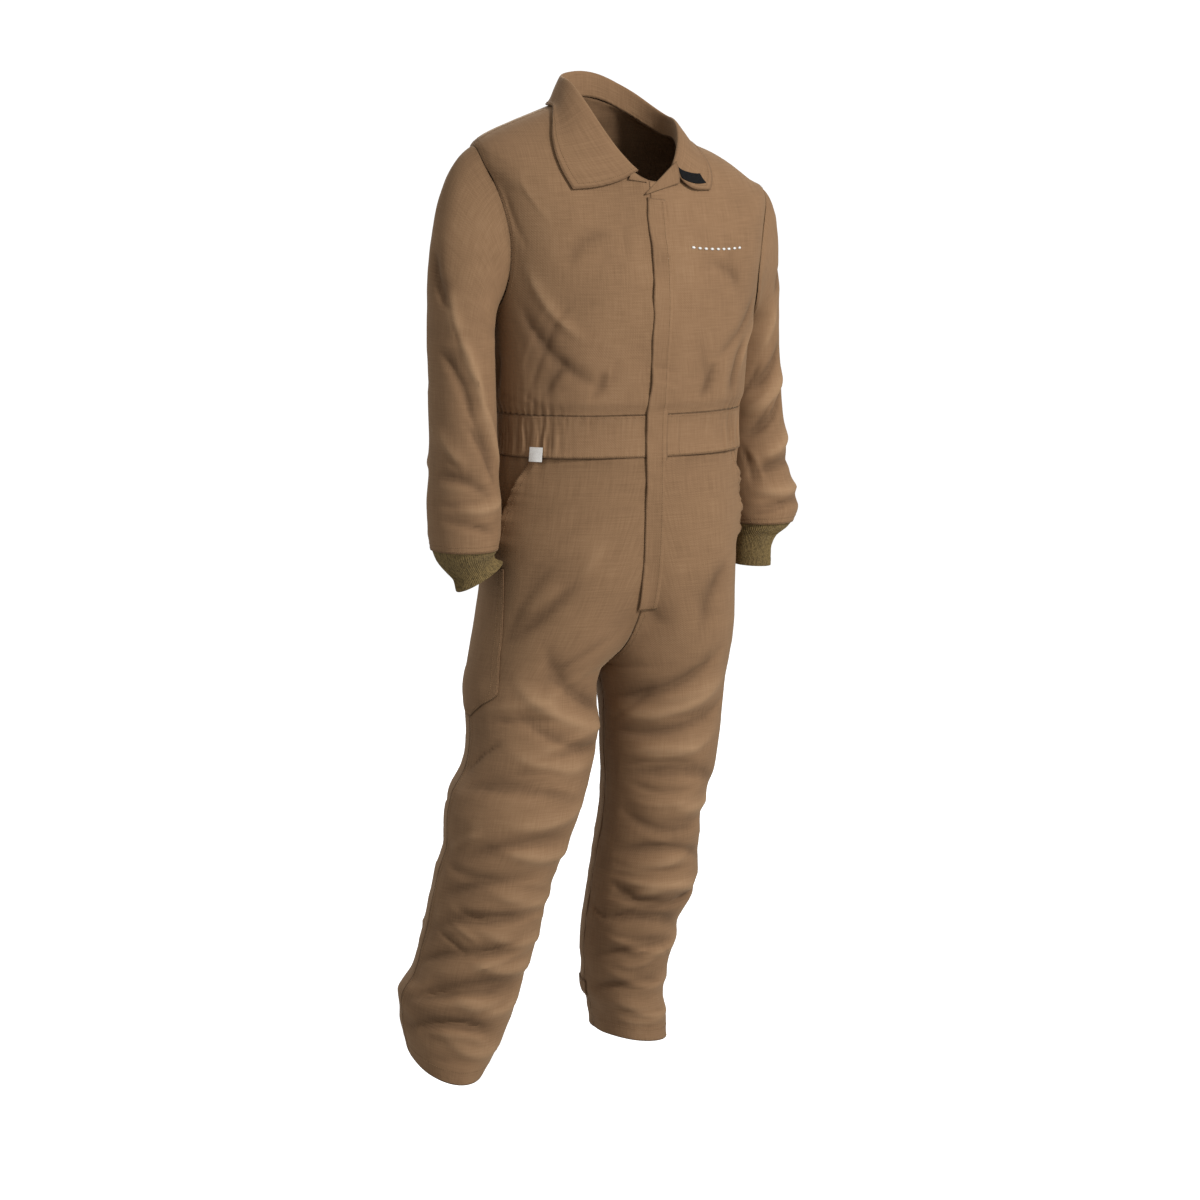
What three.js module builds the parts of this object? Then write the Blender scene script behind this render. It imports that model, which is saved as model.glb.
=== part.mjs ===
// A boiler suit: one-piece workwear in heavy cotton twill, filled out as it is when worn, and hollow.
//
// Each piece is a wall of cloth laid on one of three surfaces: the trunk, a leg or a sleeve.
// A surface is a stack of rings, and a table gives each ring its height and its reach each way.
// Folds are troughs and ridges added to the surface, so that every piece on it follows them.
// Millimetres. X to the wearer's left, Y to the wearer's back, Z up.
import * as THREE from "three";

// Sizes.
const TWILL = 2; // wall of the cloth with its seam turnings
const KNIT = 3; // wall of the ribbed cuffs
const SEAM = 0.3; // space between two pieces that are sewn together
const LAID = 0.5; // space under a piece that lies on another
// Where the suit hangs, between the wearer's shoulders; heights start at the floor the wearer stands on.
const ORIGIN = { x: 8, y: 5, z: 1500 };

const WAIST_TOP = 1100; // upper edge of the waistband
const WAIST_LOW = 1036; // lower edge of the waistband
const UNDERARM = 1245; // foot of the armhole
const SHOULDER_TIP = 1471; // top of the armhole
const NECK = 1543; // neck seam, measured at the sides
const CROTCH = 700;
const FLY_END = 797; // bar at the foot of the front placket
const PLACKET = { right: -7, left: 28, top: 1516 }; // edges from the centre front, ring it starts at
const ARMHOLE = { front: 25, back: 23 }; // how far the armhole cuts in, degrees of the trunk

const KHAKI = { colour: "#8e6f52", roughness: 0.9 };
const RIB = { colour: "#8a744f", roughness: 0.95 };
const WHITE = { colour: "#e9e7e2", roughness: 0.8 };
const BLACK = { colour: "#1b1b1c", roughness: 0.85 };

// Tables of rings and folds.
// Trunk rings. side, front and back are the heights of one ring at the side, the centre front and the
// centre back. x and y are its middle, half its half width, chest and spine its half depths.
// square above 2 flattens front and back. drop is how much lower the left end is, per mm of width.
const TRUNK = table("side front back x y half chest spine square drop", [
  [1030, 1030, 1030, 0, 0, 199, 142, 146, 2.2, 0],
  [1066, 1066, 1066, 0, 0, 196, 141, 143, 2.2, 0],
  [1100, 1100, 1100, 0, 0, 197, 144, 146, 2.2, 0],
  [1124, 1121, 1126, 1, 0, 204, 151, 154, 2.2, 0],
  [1160, 1152, 1164, 2, 0, 205, 152, 153, 2.25, 0.01],
  [1200, 1184, 1206, 3, 0, 206, 153, 150, 2.3, 0.02],
  [1245, 1220, 1254, 5, 0, 212, 154, 150, 2.3, 0.035],
  [1290, 1254, 1302, 7, 1, 217, 154, 150, 2.3, 0.055],
  [1340, 1290, 1355, 8, 2, 222, 152, 148, 2.3, 0.08],
  [1390, 1324, 1408, 9, 4, 229, 148, 142, 2.25, 0.1],
  [1430, 1352, 1452, 9, 6, 235, 144, 132, 2.2, 0.12],
  [1455, 1371, 1480, 8, 8, 240, 141, 121, 2.15, 0.13],
  [1471, 1385, 1499, 8, 9, 237, 139, 112, 2.1, 0.135],
  [1488, 1400, 1518, 8, 10, 213, 136, 102, 2.05, 0.16],
  [1505, 1414, 1535, 8, 11, 184, 134, 92, 2, 0.16],
  [1518, 1427, 1548, 8, 12, 157, 132, 83, 2, 0.17],
  [1531, 1440, 1560, 8, 13, 123, 130, 75, 2, 0.21],
  [1543, 1452, 1571, 8, 14, 88, 128, 67, 2, 0.3],
]);

// Trousers above the crotch: how far each leg's ring is open towards the other leg, in degrees,
// and where the middle seam lies. The wearer's weight carries the seam to the right.
const SEAT = table("height open middle", [
  [700, 0, -33], [704, 12, -31], [712, 24, -28], [730, 38, -20], [760, 51, -12],
  [811, 65, -4], [880, 77, -1], [950, 85, 0], [1036, 90, 0], [1060, 90, 0],
]);

// Legs: reach of the outer and inner side from the middle of the body, the ring's middle in Y,
// and its half depths. A leg's own inner side only counts below the crotch.
const LEG = {
  right: table("height outer inner y front back", [
    [108, -362, -246, -42, 82, 80],
    [160, -372, -211, -42, 88, 86],
    [200, -374, -190, -44, 92, 91],
    [240, -353, -178, -47, 92, 92],
    [280, -342, -162, -49, 93, 92],
    [320, -332, -150, -52, 93, 93],
    [360, -324, -140, -54, 94, 94],
    [400, -316, -127, -57, 95, 95],
    [440, -303, -109, -58, 98, 96],
    [480, -301, -91, -56, 100, 100],
    [520, -291, -75, -50, 102, 102],
    [560, -265, -61, -41, 101, 103],
    [600, -254, -49, -29, 103, 108],
    [640, -249, -44, -15, 106, 114],
    [670, -243, -43, -6, 110, 120],
    [700, -234, -33, 0, 115, 128],
    [760, -220, -12, 0, 128, 150],
    [811, -214, -4, 0, 135, 160],
    [880, -210, -1, 0, 139, 163],
    [950, -207, 0, 0, 141, 156],
    [1036, -199, 0, 0, 142, 146],
    [1060, -196, 0, 0, 141, 144],
  ]),
  left: table("height outer inner y front back", [
    [88, 92, -27, 25, 78, 78],
    [120, 91, -31, 23, 80, 80],
    [160, 83, -43, 19, 80, 80],
    [200, 88, -45, 15, 84, 84],
    [240, 98, -48, 11, 87, 87],
    [280, 104, -46, 7, 88, 88],
    [320, 127, -42, 3, 91, 90],
    [360, 136, -37, -1, 92, 92],
    [400, 134, -32, -5, 93, 93],
    [440, 134, -26, -9, 95, 95],
    [480, 139, -21, -9, 96, 97],
    [520, 158, -20, -8, 97, 99],
    [560, 166, -21, -6, 98, 102],
    [600, 172, -20, -4, 101, 107],
    [640, 176, -20, -2, 104, 113],
    [670, 179, -25, -1, 109, 120],
    [700, 185, -33, 0, 115, 128],
    [760, 193, -12, 0, 128, 150],
    [811, 194, -4, 0, 135, 160],
    [880, 196, -1, 0, 139, 163],
    [950, 199, 0, 0, 141, 156],
    [1036, 199, 0, 0, 142, 146],
    [1060, 196, 0, 0, 141, 144],
  ]),
};
// Slope of each hem, along X and along Y; it fades out over HEM_REACH.
const HEM_SLOPE = { right: { x: -0.1, y: 0.38 }, left: { x: -0.15, y: 0 } };
const HEM_REACH = 160;

// Sleeves below the armhole: middle of each ring, its half width and its half depth.
const SLEEVE = {
  right: table("height x y half depth", [
    [896, -266, -43, 51, 58],
    [925, -265, -41, 55, 61],
    [960, -264, -38, 56, 62],
    [1010, -263, -34, 52, 61],
    [1060, -262, -31, 51, 60],
    [1110, -262, -28, 51, 60],
    [1160, -262, -26, 50, 60],
    [1215, -262, -22, 50, 61],
  ]),
  left: table("height x y half depth", [
    [904, 270, 42, 52, 58],
    [930, 273, 46, 60, 64],
    [960, 268, 51, 56, 62],
    [1010, 264, 57, 53, 61],
    [1060, 261, 60, 51, 60],
    [1110, 258, 62, 50, 60],
    [1160, 256, 61, 48, 60],
    [1215, 253, 57, 46, 60],
  ]),
};
const SLEEVE_TOP = 1215; // ring where the sleeve's shoulder part ends
// How firmly the shoulder part leaves the armhole, and how firmly it turns down.
const CAP = { right: { push: 0.74, fall: 1 }, left: { push: 0.5, fall: 0.9 } };

// Ribbed cuffs: drop below the sleeve's hem, shift of the middle, half width, half depth, slope along X.
const CUFF = {
  right: table("drop x y half depth slope", [
    [0, 0, 0, 48, 55, 0], [9, 2, -1, 45, 50, 0.12], [20, 8, -2, 37, 40, 0.35],
    [31, 15, -4, 32, 33, 0.5], [42, 22, -7, 36, 31, 0.6],
  ]),
  left: table("drop x y half depth slope", [
    [0, 0, 0, 49, 55, 0], [9, -4, -2, 44, 50, 0], [20, -12, -5, 34, 38, -0.05],
    [42, -17, -8, 29, 32, -0.05], [68, -18, -10, 29, 32, -0.05],
  ]),
};

// Collar, from the front end to the centre back: angle of the neck seam, height of the stand above
// it, the angle and trunk ring that the leaf's edge reaches, and how far the leaf bows forward
// between roll and edge. On the left the lapel takes the first part of the neck seam.
const COLLAR = {
  right: table("angle stand edgeAngle edgeRing belly", [
    [12, 3, 32, 1482, 0], [22, 5, 40, 1494, 0], [32, 7, 47, 1504, 0], [46, 12, 55, 1514, 0],
    [68, 24, 69, 1527, 0], [90, 35, 86, 1535, 0], [120, 38, 117, 1534, 0], [150, 38, 149, 1532, 0],
    [180, 37, 180, 1531, 0],
  ]),
  left: table("angle stand edgeAngle edgeRing belly", [
    [33, 7, 37.6, 1509, 9], [40, 10, 44, 1514, 6], [50, 15, 54, 1522, 2], [68, 23, 69, 1531, 0],
    [90, 29, 87, 1536, 0], [120, 33, 117, 1535, 0], [150, 36, 149, 1532, 0], [180, 37, 180, 1531, 0],
  ]),
};

// Mouth of a hip pocket: leg angle of the front panel's cut edge at each height.
const POCKET_MOUTH = table("height angle", [
  [862, 179.6], [870, 177], [892, 170.5], [922, 166], [954, 162.5], [1000, 155], [1037, 148],
]);
const POCKET = { foot: 862, under: 5, sink: 3.2, gape: 6, reach: 24 };

// Patch pocket on the right thigh: its two edges in leg degrees at each height.
const THIGH_POCKET = table("height front back", [
  [632, 177, 185], [652, 160, 203], [673, 143.5, 219], [738, 153, 216], [800, 158, 212], [862, 161, 207],
]);
const THIGH_BULGE = 6;

// Folds. from and to are degrees round the surface and heights; bow bends the line sideways,
// width is the half width and rise the height of a ridge (or the depth of a trough, if negative).
const FOLDS = {
  trunk: table("fromAngle fromHeight toAngle toHeight bow width rise", [
    [-62, 1262, -22, 1150, 12, 20, -5], [-56, 1318, -30, 1230, 8, 16, 4],
    [-50, 1130, -38, 1190, 0, 15, -5], [-26, 1128, -20, 1175, 4, 12, -4],
    [22, 1125, 27, 1185, 4, 14, -5], [44, 1128, 52, 1215, -6, 16, -6],
    [60, 1300, 30, 1200, -10, 19, -4], [70, 1250, 48, 1160, 6, 16, 4],
    [-16, 1440, -34, 1350, 8, 16, -3], [20, 1400, 40, 1330, -6, 16, -3],
    [112, 1262, 150, 1150, 10, 22, -5], [-114, 1266, -152, 1160, -10, 20, -6],
    [126, 1330, 165, 1260, 12, 20, 4], [-128, 1340, -168, 1270, -10, 19, 4],
    [150, 1128, 158, 1200, 0, 15, -5], [-150, 1128, -160, 1205, 4, 15, -6],
    [178, 1130, 176, 1210, 5, 16, -4], [128, 1126, 122, 1185, -4, 14, -5],
    [-128, 1126, -120, 1190, 4, 14, -5], [86, 1126, 84, 1190, 3, 12, -4], [-86, 1126, -83, 1190, 3, 12, -4],
  ]),
  legRight: table("fromAngle fromHeight toAngle toHeight bow width rise", [
    [150, 752, 112, 880, -14, 19, -6], [140, 800, 104, 900, -10, 16, 4],
    [22, 640, 118, 742, 18, 18, -7], [20, 612, 128, 690, 20, 18, 6], [24, 585, 120, 640, 16, 16, -6],
    [40, 560, 130, 590, 12, 16, 4], [60, 515, 165, 535, -14, 19, -6], [30, 500, 110, 480, 10, 16, 5],
    [50, 455, 150, 430, -14, 18, -6], [20, 432, 120, 452, 14, 16, 5], [70, 396, 160, 372, -12, 18, -6],
    [24, 360, 112, 382, 12, 16, 5], [60, 330, 168, 318, -16, 18, -7], [20, 300, 110, 318, 14, 16, 5],
    [70, 282, 176, 262, -14, 18, -7], [22, 258, 112, 272, 12, 16, 6], [54, 232, 170, 205, -18, 19, -8],
    [30, 212, 120, 228, 16, 16, 6], [66, 178, 168, 160, -20, 16, -7], [36, 158, 120, 172, 14, 15, 5],
    [210, 700, 300, 800, -14, 20, -6], [338, 690, 262, 742, -16, 20, -7], [336, 650, 244, 690, -14, 19, 5],
    [330, 560, 226, 590, -16, 20, -7], [326, 480, 220, 500, 14, 19, -7], [330, 440, 236, 452, -12, 18, 6],
    [322, 380, 214, 372, 14, 19, -6], [326, 300, 222, 318, -14, 19, -7], [318, 222, 216, 214, 16, 19, -8],
    [322, 176, 224, 186, -10, 16, 6],
  ]),
  legLeft: table("fromAngle fromHeight toAngle toHeight bow width rise", [
    [22, 652, 120, 720, 16, 18, -7], [20, 622, 134, 676, 18, 18, 6], [26, 596, 140, 640, 14, 16, -6],
    [60, 860, 76, 770, 6, 18, -4], [132, 860, 104, 760, 10, 19, -5],
    [40, 560, 128, 590, 12, 16, 4], [40, 530, 150, 505, -16, 19, -7], [90, 478, 172, 492, 12, 16, 5],
    [30, 470, 130, 446, 14, 16, -5], [40, 408, 150, 384, -16, 18, -7], [26, 384, 116, 402, 12, 16, 5],
    [34, 352, 100, 322, 10, 16, -8], [100, 322, 168, 350, 10, 16, -8], [50, 330, 150, 326, -16, 15, 6],
    [30, 296, 140, 272, -14, 18, -7], [44, 262, 160, 252, 16, 16, 6], [28, 232, 142, 246, -12, 16, -7],
    [40, 206, 150, 192, 14, 16, 6], [24, 172, 130, 184, -12, 16, -7], [60, 146, 156, 140, 10, 15, 5],
    [214, 712, 300, 800, -14, 20, -6], [336, 690, 256, 744, -16, 20, -7], [334, 640, 240, 676, -14, 19, 5],
    [330, 540, 224, 566, -14, 19, -7], [326, 470, 218, 492, 14, 19, -7], [328, 420, 232, 430, -12, 18, 6],
    [320, 352, 214, 362, 14, 19, -7], [324, 288, 222, 300, -14, 19, -7], [318, 214, 214, 222, 16, 19, -8],
  ]),
  sleeveRight: table("fromAngle fromHeight toAngle toHeight bow width rise", [
    [88, 1440, 112, 1340, 6, 14, -6], [108, 1350, 142, 1290, 6, 12, -5],
    [8, 1345, 48, 1262, 8, 16, -8], [42, 1290, 62, 1225, 0, 15, 6], [60, 1230, 104, 1112, -6, 15, 6],
    [100, 1118, 150, 1020, 4, 15, 6], [30, 1200, 84, 1100, -8, 16, -6], [74, 1090, 128, 1000, -4, 15, -6],
    [10, 1085, 70, 1030, 6, 15, 4], [20, 1010, 110, 985, -8, 15, -6], [60, 962, 150, 975, 8, 14, 5],
    [30, 942, 120, 925, -6, 12, -5], [200, 1320, 300, 1260, 14, 19, -7], [330, 1230, 230, 1140, -10, 18, -6],
    [310, 1100, 210, 1040, 12, 18, -6], [340, 1040, 250, 990, -8, 16, 5], [320, 962, 220, 944, 10, 15, -6],
  ]),
  sleeveLeft: table("fromAngle fromHeight toAngle toHeight bow width rise", [
    [70, 1450, 104, 1352, 6, 14, -5], [10, 1350, 60, 1270, 8, 16, -7], [60, 1250, 100, 1180, 4, 15, 5],
    [40, 1190, 120, 1120, 8, 16, -8], [30, 1148, 120, 1080, 6, 15, 7], [40, 1110, 130, 1044, 8, 15, -8],
    [20, 1050, 110, 1010, 6, 15, 6], [10, 1000, 120, 985, -8, 15, -7], [0, 965, 120, 958, 8, 14, 7],
    [20, 938, 120, 932, -6, 12, -6], [200, 1320, 300, 1260, 14, 19, -7], [330, 1230, 230, 1140, -10, 18, -6],
    [310, 1100, 210, 1040, 12, 18, -7], [340, 1040, 250, 990, -8, 16, 5], [320, 970, 220, 950, 10, 15, -7],
  ]),
};
// Gathers of the elastic waist: they stand where the band is at the wearer's sides and back.
const GATHERS = { from: 34, to: 166, pitch: 9.6, rise: 1.4 };

// Small tools.
function table(columns, rows) {
  const names = columns.split(" ");
  return rows.map((row) => Object.fromEntries(names.map((name, i) => [name, row[i]])));
}

const radians = (degrees) => (degrees * Math.PI) / 180;
const clamp = (x, low, high) => Math.min(high, Math.max(low, x));
const mix = (a, b, t) => a + (b - a) * t;
function ease(x, low, high) {
  const t = clamp((x - low) / (high - low), 0, 1);
  return t * t * (3 - 2 * t);
}

// A column of a table at some place, by a curve that passes through every row and never overshoots.
function read(rows, column, x, key = Object.keys(rows[0])[0]) {
  const last = rows.length - 1;
  const at = clamp(x, rows[0][key], rows[last][key]);
  let i = 0;
  while (i < last - 1 && rows[i + 1][key] < at) i += 1;
  const slope = (j) => (rows[j + 1][column] - rows[j][column]) / (rows[j + 1][key] - rows[j][key]);
  const tangent = (j) => {
    if (j === 0) return slope(0);
    if (j === last) return slope(last - 1);
    const [before, after] = [slope(j - 1), slope(j)];
    return before * after <= 0 ? 0 : (2 * before * after) / (before + after);
  };
  const span = rows[i + 1][key] - rows[i][key];
  const t = (at - rows[i][key]) / span;
  const s = 1 - t;
  return rows[i][column] * (1 + 2 * t) * s * s + rows[i + 1][column] * t * t * (3 - 2 * t)
    + tangent(i) * span * t * s * s - tangent(i + 1) * span * t * t * s;
}

// Height that the folds of one surface add at a place. perDegree turns degrees into millimetres.
function foldHeight(folds, angle, height, perDegree) {
  let sum = 0;
  for (const fold of folds) {
    const dx = (fold.toAngle - fold.fromAngle) * perDegree;
    const dz = fold.toHeight - fold.fromHeight;
    const long = Math.hypot(dx, dz);
    const x = (angle - fold.fromAngle) * perDegree;
    const z = height - fold.fromHeight;
    const t = (x * dx + z * dz) / (long * long);
    if (t < -0.15 || t > 1.15) continue;
    const off = (x * dz - z * dx) / long - fold.bow * 4 * t * (1 - t);
    if (Math.abs(off) > 3 * fold.width) continue;
    const along = ease(t, -0.15, 0.3) * (1 - ease(t, 0.7, 1.15));
    sum += fold.rise * along * Math.exp(-((off / fold.width) ** 2));
  }
  return sum;
}

// Normal of a surface at a place, by stepping to either side of it.
function normalOf(surface, a, b, stepA, stepB) {
  const along = surface(a + stepA, b).sub(surface(a - stepA, b));
  const up = surface(a, b + stepB).sub(surface(a, b - stepB));
  return along.cross(up).normalize();
}

// Surfaces.
function power(x, square) {
  return Math.sign(x) * Math.abs(x) ** (2 / square);
}

// Trunk without folds. angle is 0 at the centre front, 90 at the wearer's left, 180 at the back.
function trunkBase(angle, ring) {
  const r = (column) => read(TRUNK, column, ring);
  const s = Math.sin(radians(angle));
  const c = Math.cos(radians(angle));
  const square = r("square");
  const x = r("half") * power(s, square);
  const y = -(c > 0 ? r("chest") : r("spine")) * power(c, square);
  const end = r(c > 0 ? "front" : "back");
  const z = mix(r("side"), end, c * c) - r("drop") * x;
  return new THREE.Vector3(r("x") + x, r("y") + y, z);
}

function trunk(angle, ring) {
  const turn = ((angle + 540) % 360) - 180;
  const normal = normalOf(trunkBase, angle, ring, 0.5, 1);
  const fade = 1 - ease(ring, 1440, 1500) * 0.7;
  return trunkBase(angle, ring).addScaledVector(normal, fade * foldHeight(FOLDS.trunk, turn, ring, 3.1));
}

// One leg's surface without folds. angle is 0 at the inner side, 90 in front, 180 outside, 270 behind.
function legBase(side, angle, height) {
  const s = side === "left" ? 1 : -1;
  const rows = LEG[side];
  const r = (column) => read(rows, column, height);
  const open = height > CROTCH ? radians(read(SEAT, "open", height)) : 0;
  const middle = height > CROTCH ? read(SEAT, "middle", height) : r("inner");
  const half = Math.abs(r("outer") - middle) / (1 + Math.cos(open));
  const centre = middle + s * half * Math.cos(open);
  const c = Math.cos(radians(angle));
  const depth = Math.sin(radians(angle)) > 0 ? r("front") : r("back");
  let reach = Math.abs(Math.sin(radians(angle)));
  if (height > CROTCH && c > 0 && Math.cos(open) > 1e-4) {
    // The cloth bridges the hollow between the thighs, less and less towards the crotch.
    const t = clamp(c / Math.cos(open), 0, 1);
    const bridge = 1 - ((1 - Math.sin(open)) * (1 - Math.cos(Math.PI * t))) / 2;
    reach = mix(reach, bridge, ease(height, CROTCH + 8, FLY_END));
  }
  const x = centre - s * half * c;
  const y = r("y") - Math.sign(Math.sin(radians(angle))) * depth * reach;
  const low = rows[0].height;
  const slope = HEM_SLOPE[side];
  const tilt = 1 - ease(height, low, low + HEM_REACH);
  const z = height + tilt * (slope.x * (x - centre) + slope.y * (y - r("y")));
  return new THREE.Vector3(x + s * (height > CROTCH - 40 ? SEAM * 0.7 : 0), y, z);
}

function leg(side, angle, height) {
  const base = (a, h) => legBase(side, a, h);
  const normal = normalOf(base, angle, height, 0.5, 1);
  if (side === "right") normal.negate();
  const folds = side === "right" ? FOLDS.legRight : FOLDS.legLeft;
  const open = height > CROTCH ? read(SEAT, "open", height) : 0;
  const turn = ((angle % 360) + 360) % 360;
  // Folds die away at the middle seam and under the waistband.
  const toSeam = Math.min(Math.abs(turn - open), Math.abs(360 - open - turn));
  const fade = height > CROTCH ? ease(toSeam, 0, 14) : 1;
  const top = 1 - ease(height, 1000, WAIST_LOW);
  return base(angle, height).addScaledVector(normal, fade * top * foldHeight(folds, turn, height, 1.75));
}

// Armhole edge on the trunk. angle is 0 at the shoulder tip, 90 in front, 180 under the arm, 270 behind.
function armholeCut(ring) {
  const middle = (SHOULDER_TIP + UNDERARM) / 2;
  const half = (SHOULDER_TIP - UNDERARM) / 2;
  const t = clamp((ring - middle) / half, -1, 1);
  return Math.sqrt(1 - t * t);
}
function armhole(side, angle) {
  const s = side === "left" ? 1 : -1;
  const middle = (SHOULDER_TIP + UNDERARM) / 2;
  const half = (SHOULDER_TIP - UNDERARM) / 2;
  const sine = Math.sin(radians(angle));
  const cut = sine > 0 ? -ARMHOLE.front * sine : -ARMHOLE.back * sine;
  return trunk(s * (90 + cut), middle + half * Math.cos(radians(angle)));
}

// Sleeve: place runs from 0 at the armhole to 1 at SLEEVE_TOP, and then down the table to 2 at the hem.
function sleeveHeight(side, place) {
  const hem = SLEEVE[side][0].height;
  return place < 1 ? mix(1480, SLEEVE_TOP, place) : mix(SLEEVE_TOP, hem, place - 1);
}
function sleeveBase(side, angle, place) {
  const s = side === "left" ? 1 : -1;
  const rows = SLEEVE[side];
  const ringPoint = (height) => {
    const r = (column) => read(rows, column, height);
    const x = r("x") + s * r("half") * Math.cos(radians(angle));
    return new THREE.Vector3(x, r("y") - r("depth") * Math.sin(radians(angle)), height);
  };
  if (place >= 1) return ringPoint(sleeveHeight(side, place));
  const low = (1 - Math.cos(radians(angle))) / 2;
  const clear = mix(0.5, 2.7, low ** 1.5);
  const from = armhole(side, angle).add(new THREE.Vector3(s * clear, 0, 0));
  const to = ringPoint(SLEEVE_TOP);
  const long = from.distanceTo(to);
  const start = new THREE.Vector3(s * mix(1, 0.4, low), 0, -mix(0.5, 1, low)).normalize();
  start.multiplyScalar(long * CAP[side].push);
  const end = new THREE.Vector3(0, 0, -long * CAP[side].fall);
  const t = place;
  const u = 1 - t;
  const point = from.multiplyScalar((1 + 2 * t) * u * u)
    .addScaledVector(start, t * u * u)
    .addScaledVector(to, t * t * (3 - 2 * t))
    .addScaledVector(end, -t * t * u);
  return besideTrunk(point, s, mix(clear, 8, ease(place, 0, 0.16)));
}
// Under the arm the sleeve is pressed flat by the body: a point is never nearer to the trunk than room.
function besideTrunk(point, s, room) {
  const ring = point.z + 0.05 * point.x;
  const r = (column) => read(TRUNK, column, ring);
  const deep = Math.abs(point.y - r("y")) / r(point.y < r("y") ? "chest" : "spine");
  if (deep < 1) {
    const reach = r("half") * (1 - deep ** r("square")) ** (1 / r("square")) + room;
    point.x = s * Math.max(s * point.x, s * r("x") + reach);
  }
  return point;
}
function sleeve(side, angle, place) {
  const base = (a, p) => sleeveBase(side, a, p);
  const normal = normalOf(base, angle, place, 0.5, 0.004);
  if (side === "right") normal.negate();
  const point = base(angle, place);
  const folds = side === "right" ? FOLDS.sleeveRight : FOLDS.sleeveLeft;
  const turn = ((angle % 360) + 360) % 360;
  const fade = ease(place, 0, 0.2) * (1 - ease(place, 1.93, 2));
  return point.addScaledVector(normal, -fade * foldHeight(folds, turn, point.z, 1.05));
}

function cuff(side, angle, down) {
  const s = side === "left" ? 1 : -1;
  const hem = SLEEVE[side][0];
  const r = (column) => read(CUFF[side], column, down);
  const dx = s * r("half") * Math.cos(radians(angle));
  const y = hem.y + r("y") - r("depth") * Math.sin(radians(angle));
  return new THREE.Vector3(hem.x + r("x") + dx, y, hem.height - SEAM - 0.2 - down + r("slope") * dx);
}

// The front of the suit at x from its middle, on the trunk or below the band on the trousers.
function front(x, ring) {
  if (ring >= WAIST_LOW) {
    const half = read(TRUNK, "half", ring);
    const square = read(TRUNK, "square", ring);
    const reach = Math.abs(x / half) ** (square / 2);
    return trunk(Math.sign(x) * (Math.asin(reach) * 180) / Math.PI, ring);
  }
  const middle = read(SEAT, "middle", ring);
  const side = x >= 0 ? "left" : "right";
  const open = radians(read(SEAT, "open", ring));
  const half = Math.abs(read(LEG[side], "outer", ring) - middle) / (1 + Math.cos(open));
  const angle = Math.acos(clamp(Math.cos(open) - Math.abs(x) / half, -1, 1));
  return leg(side, (angle * 180) / Math.PI, ring);
}

// Collar: across runs from 0 at the neck seam over the roll to 1 at the leaf's edge.
function collar(angle, across) {
  const turn = angle <= 180 ? angle : 360 - angle;
  const s = angle <= 180 ? 1 : -1;
  const r = (column) => read(COLLAR[s > 0 ? "left" : "right"], column, turn);
  const seamOut = normalOf(trunkBase, angle, NECK - 1, 0.5, 1);
  const flat = new THREE.Vector3(seamOut.x, seamOut.y, 0).normalize();
  const onward = trunkBase(angle, NECK).sub(trunkBase(angle, NECK - 2)).normalize();
  const seam = trunkBase(angle, NECK).addScaledVector(seamOut, -TWILL / 2).addScaledVector(onward, 2.6);
  const rise = r("stand");
  const roll = seam.clone().addScaledVector(flat, 2.4);
  roll.z += rise;
  const stand = seam.clone().addScaledVector(flat, -0.4);
  stand.z += rise * 0.55;
  const edgeBase = (part, lift) => {
    const a = mix(turn, r("edgeAngle"), part) - r("belly") * Math.sin(Math.PI * part);
    const ring = mix(NECK, r("edgeRing"), part);
    const out = normalOf(trunkBase, s * a, Math.min(ring, NECK - 1), 0.5, 1);
    return trunkBase(s * a, ring).addScaledVector(out, lift);
  };
  const fall = edgeBase(0.3, 4 + rise * 0.1);
  fall.z += rise * 0.42;
  const points = [seam, stand, roll, fall, edgeBase(0.68, 4.8 + rise * 0.06), edgeBase(1, 3.3)];
  const curve = new THREE.CatmullRomCurve3(points, false, "centripetal");
  return curve.getPoint(clamp(across, 0, 1));
}

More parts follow.
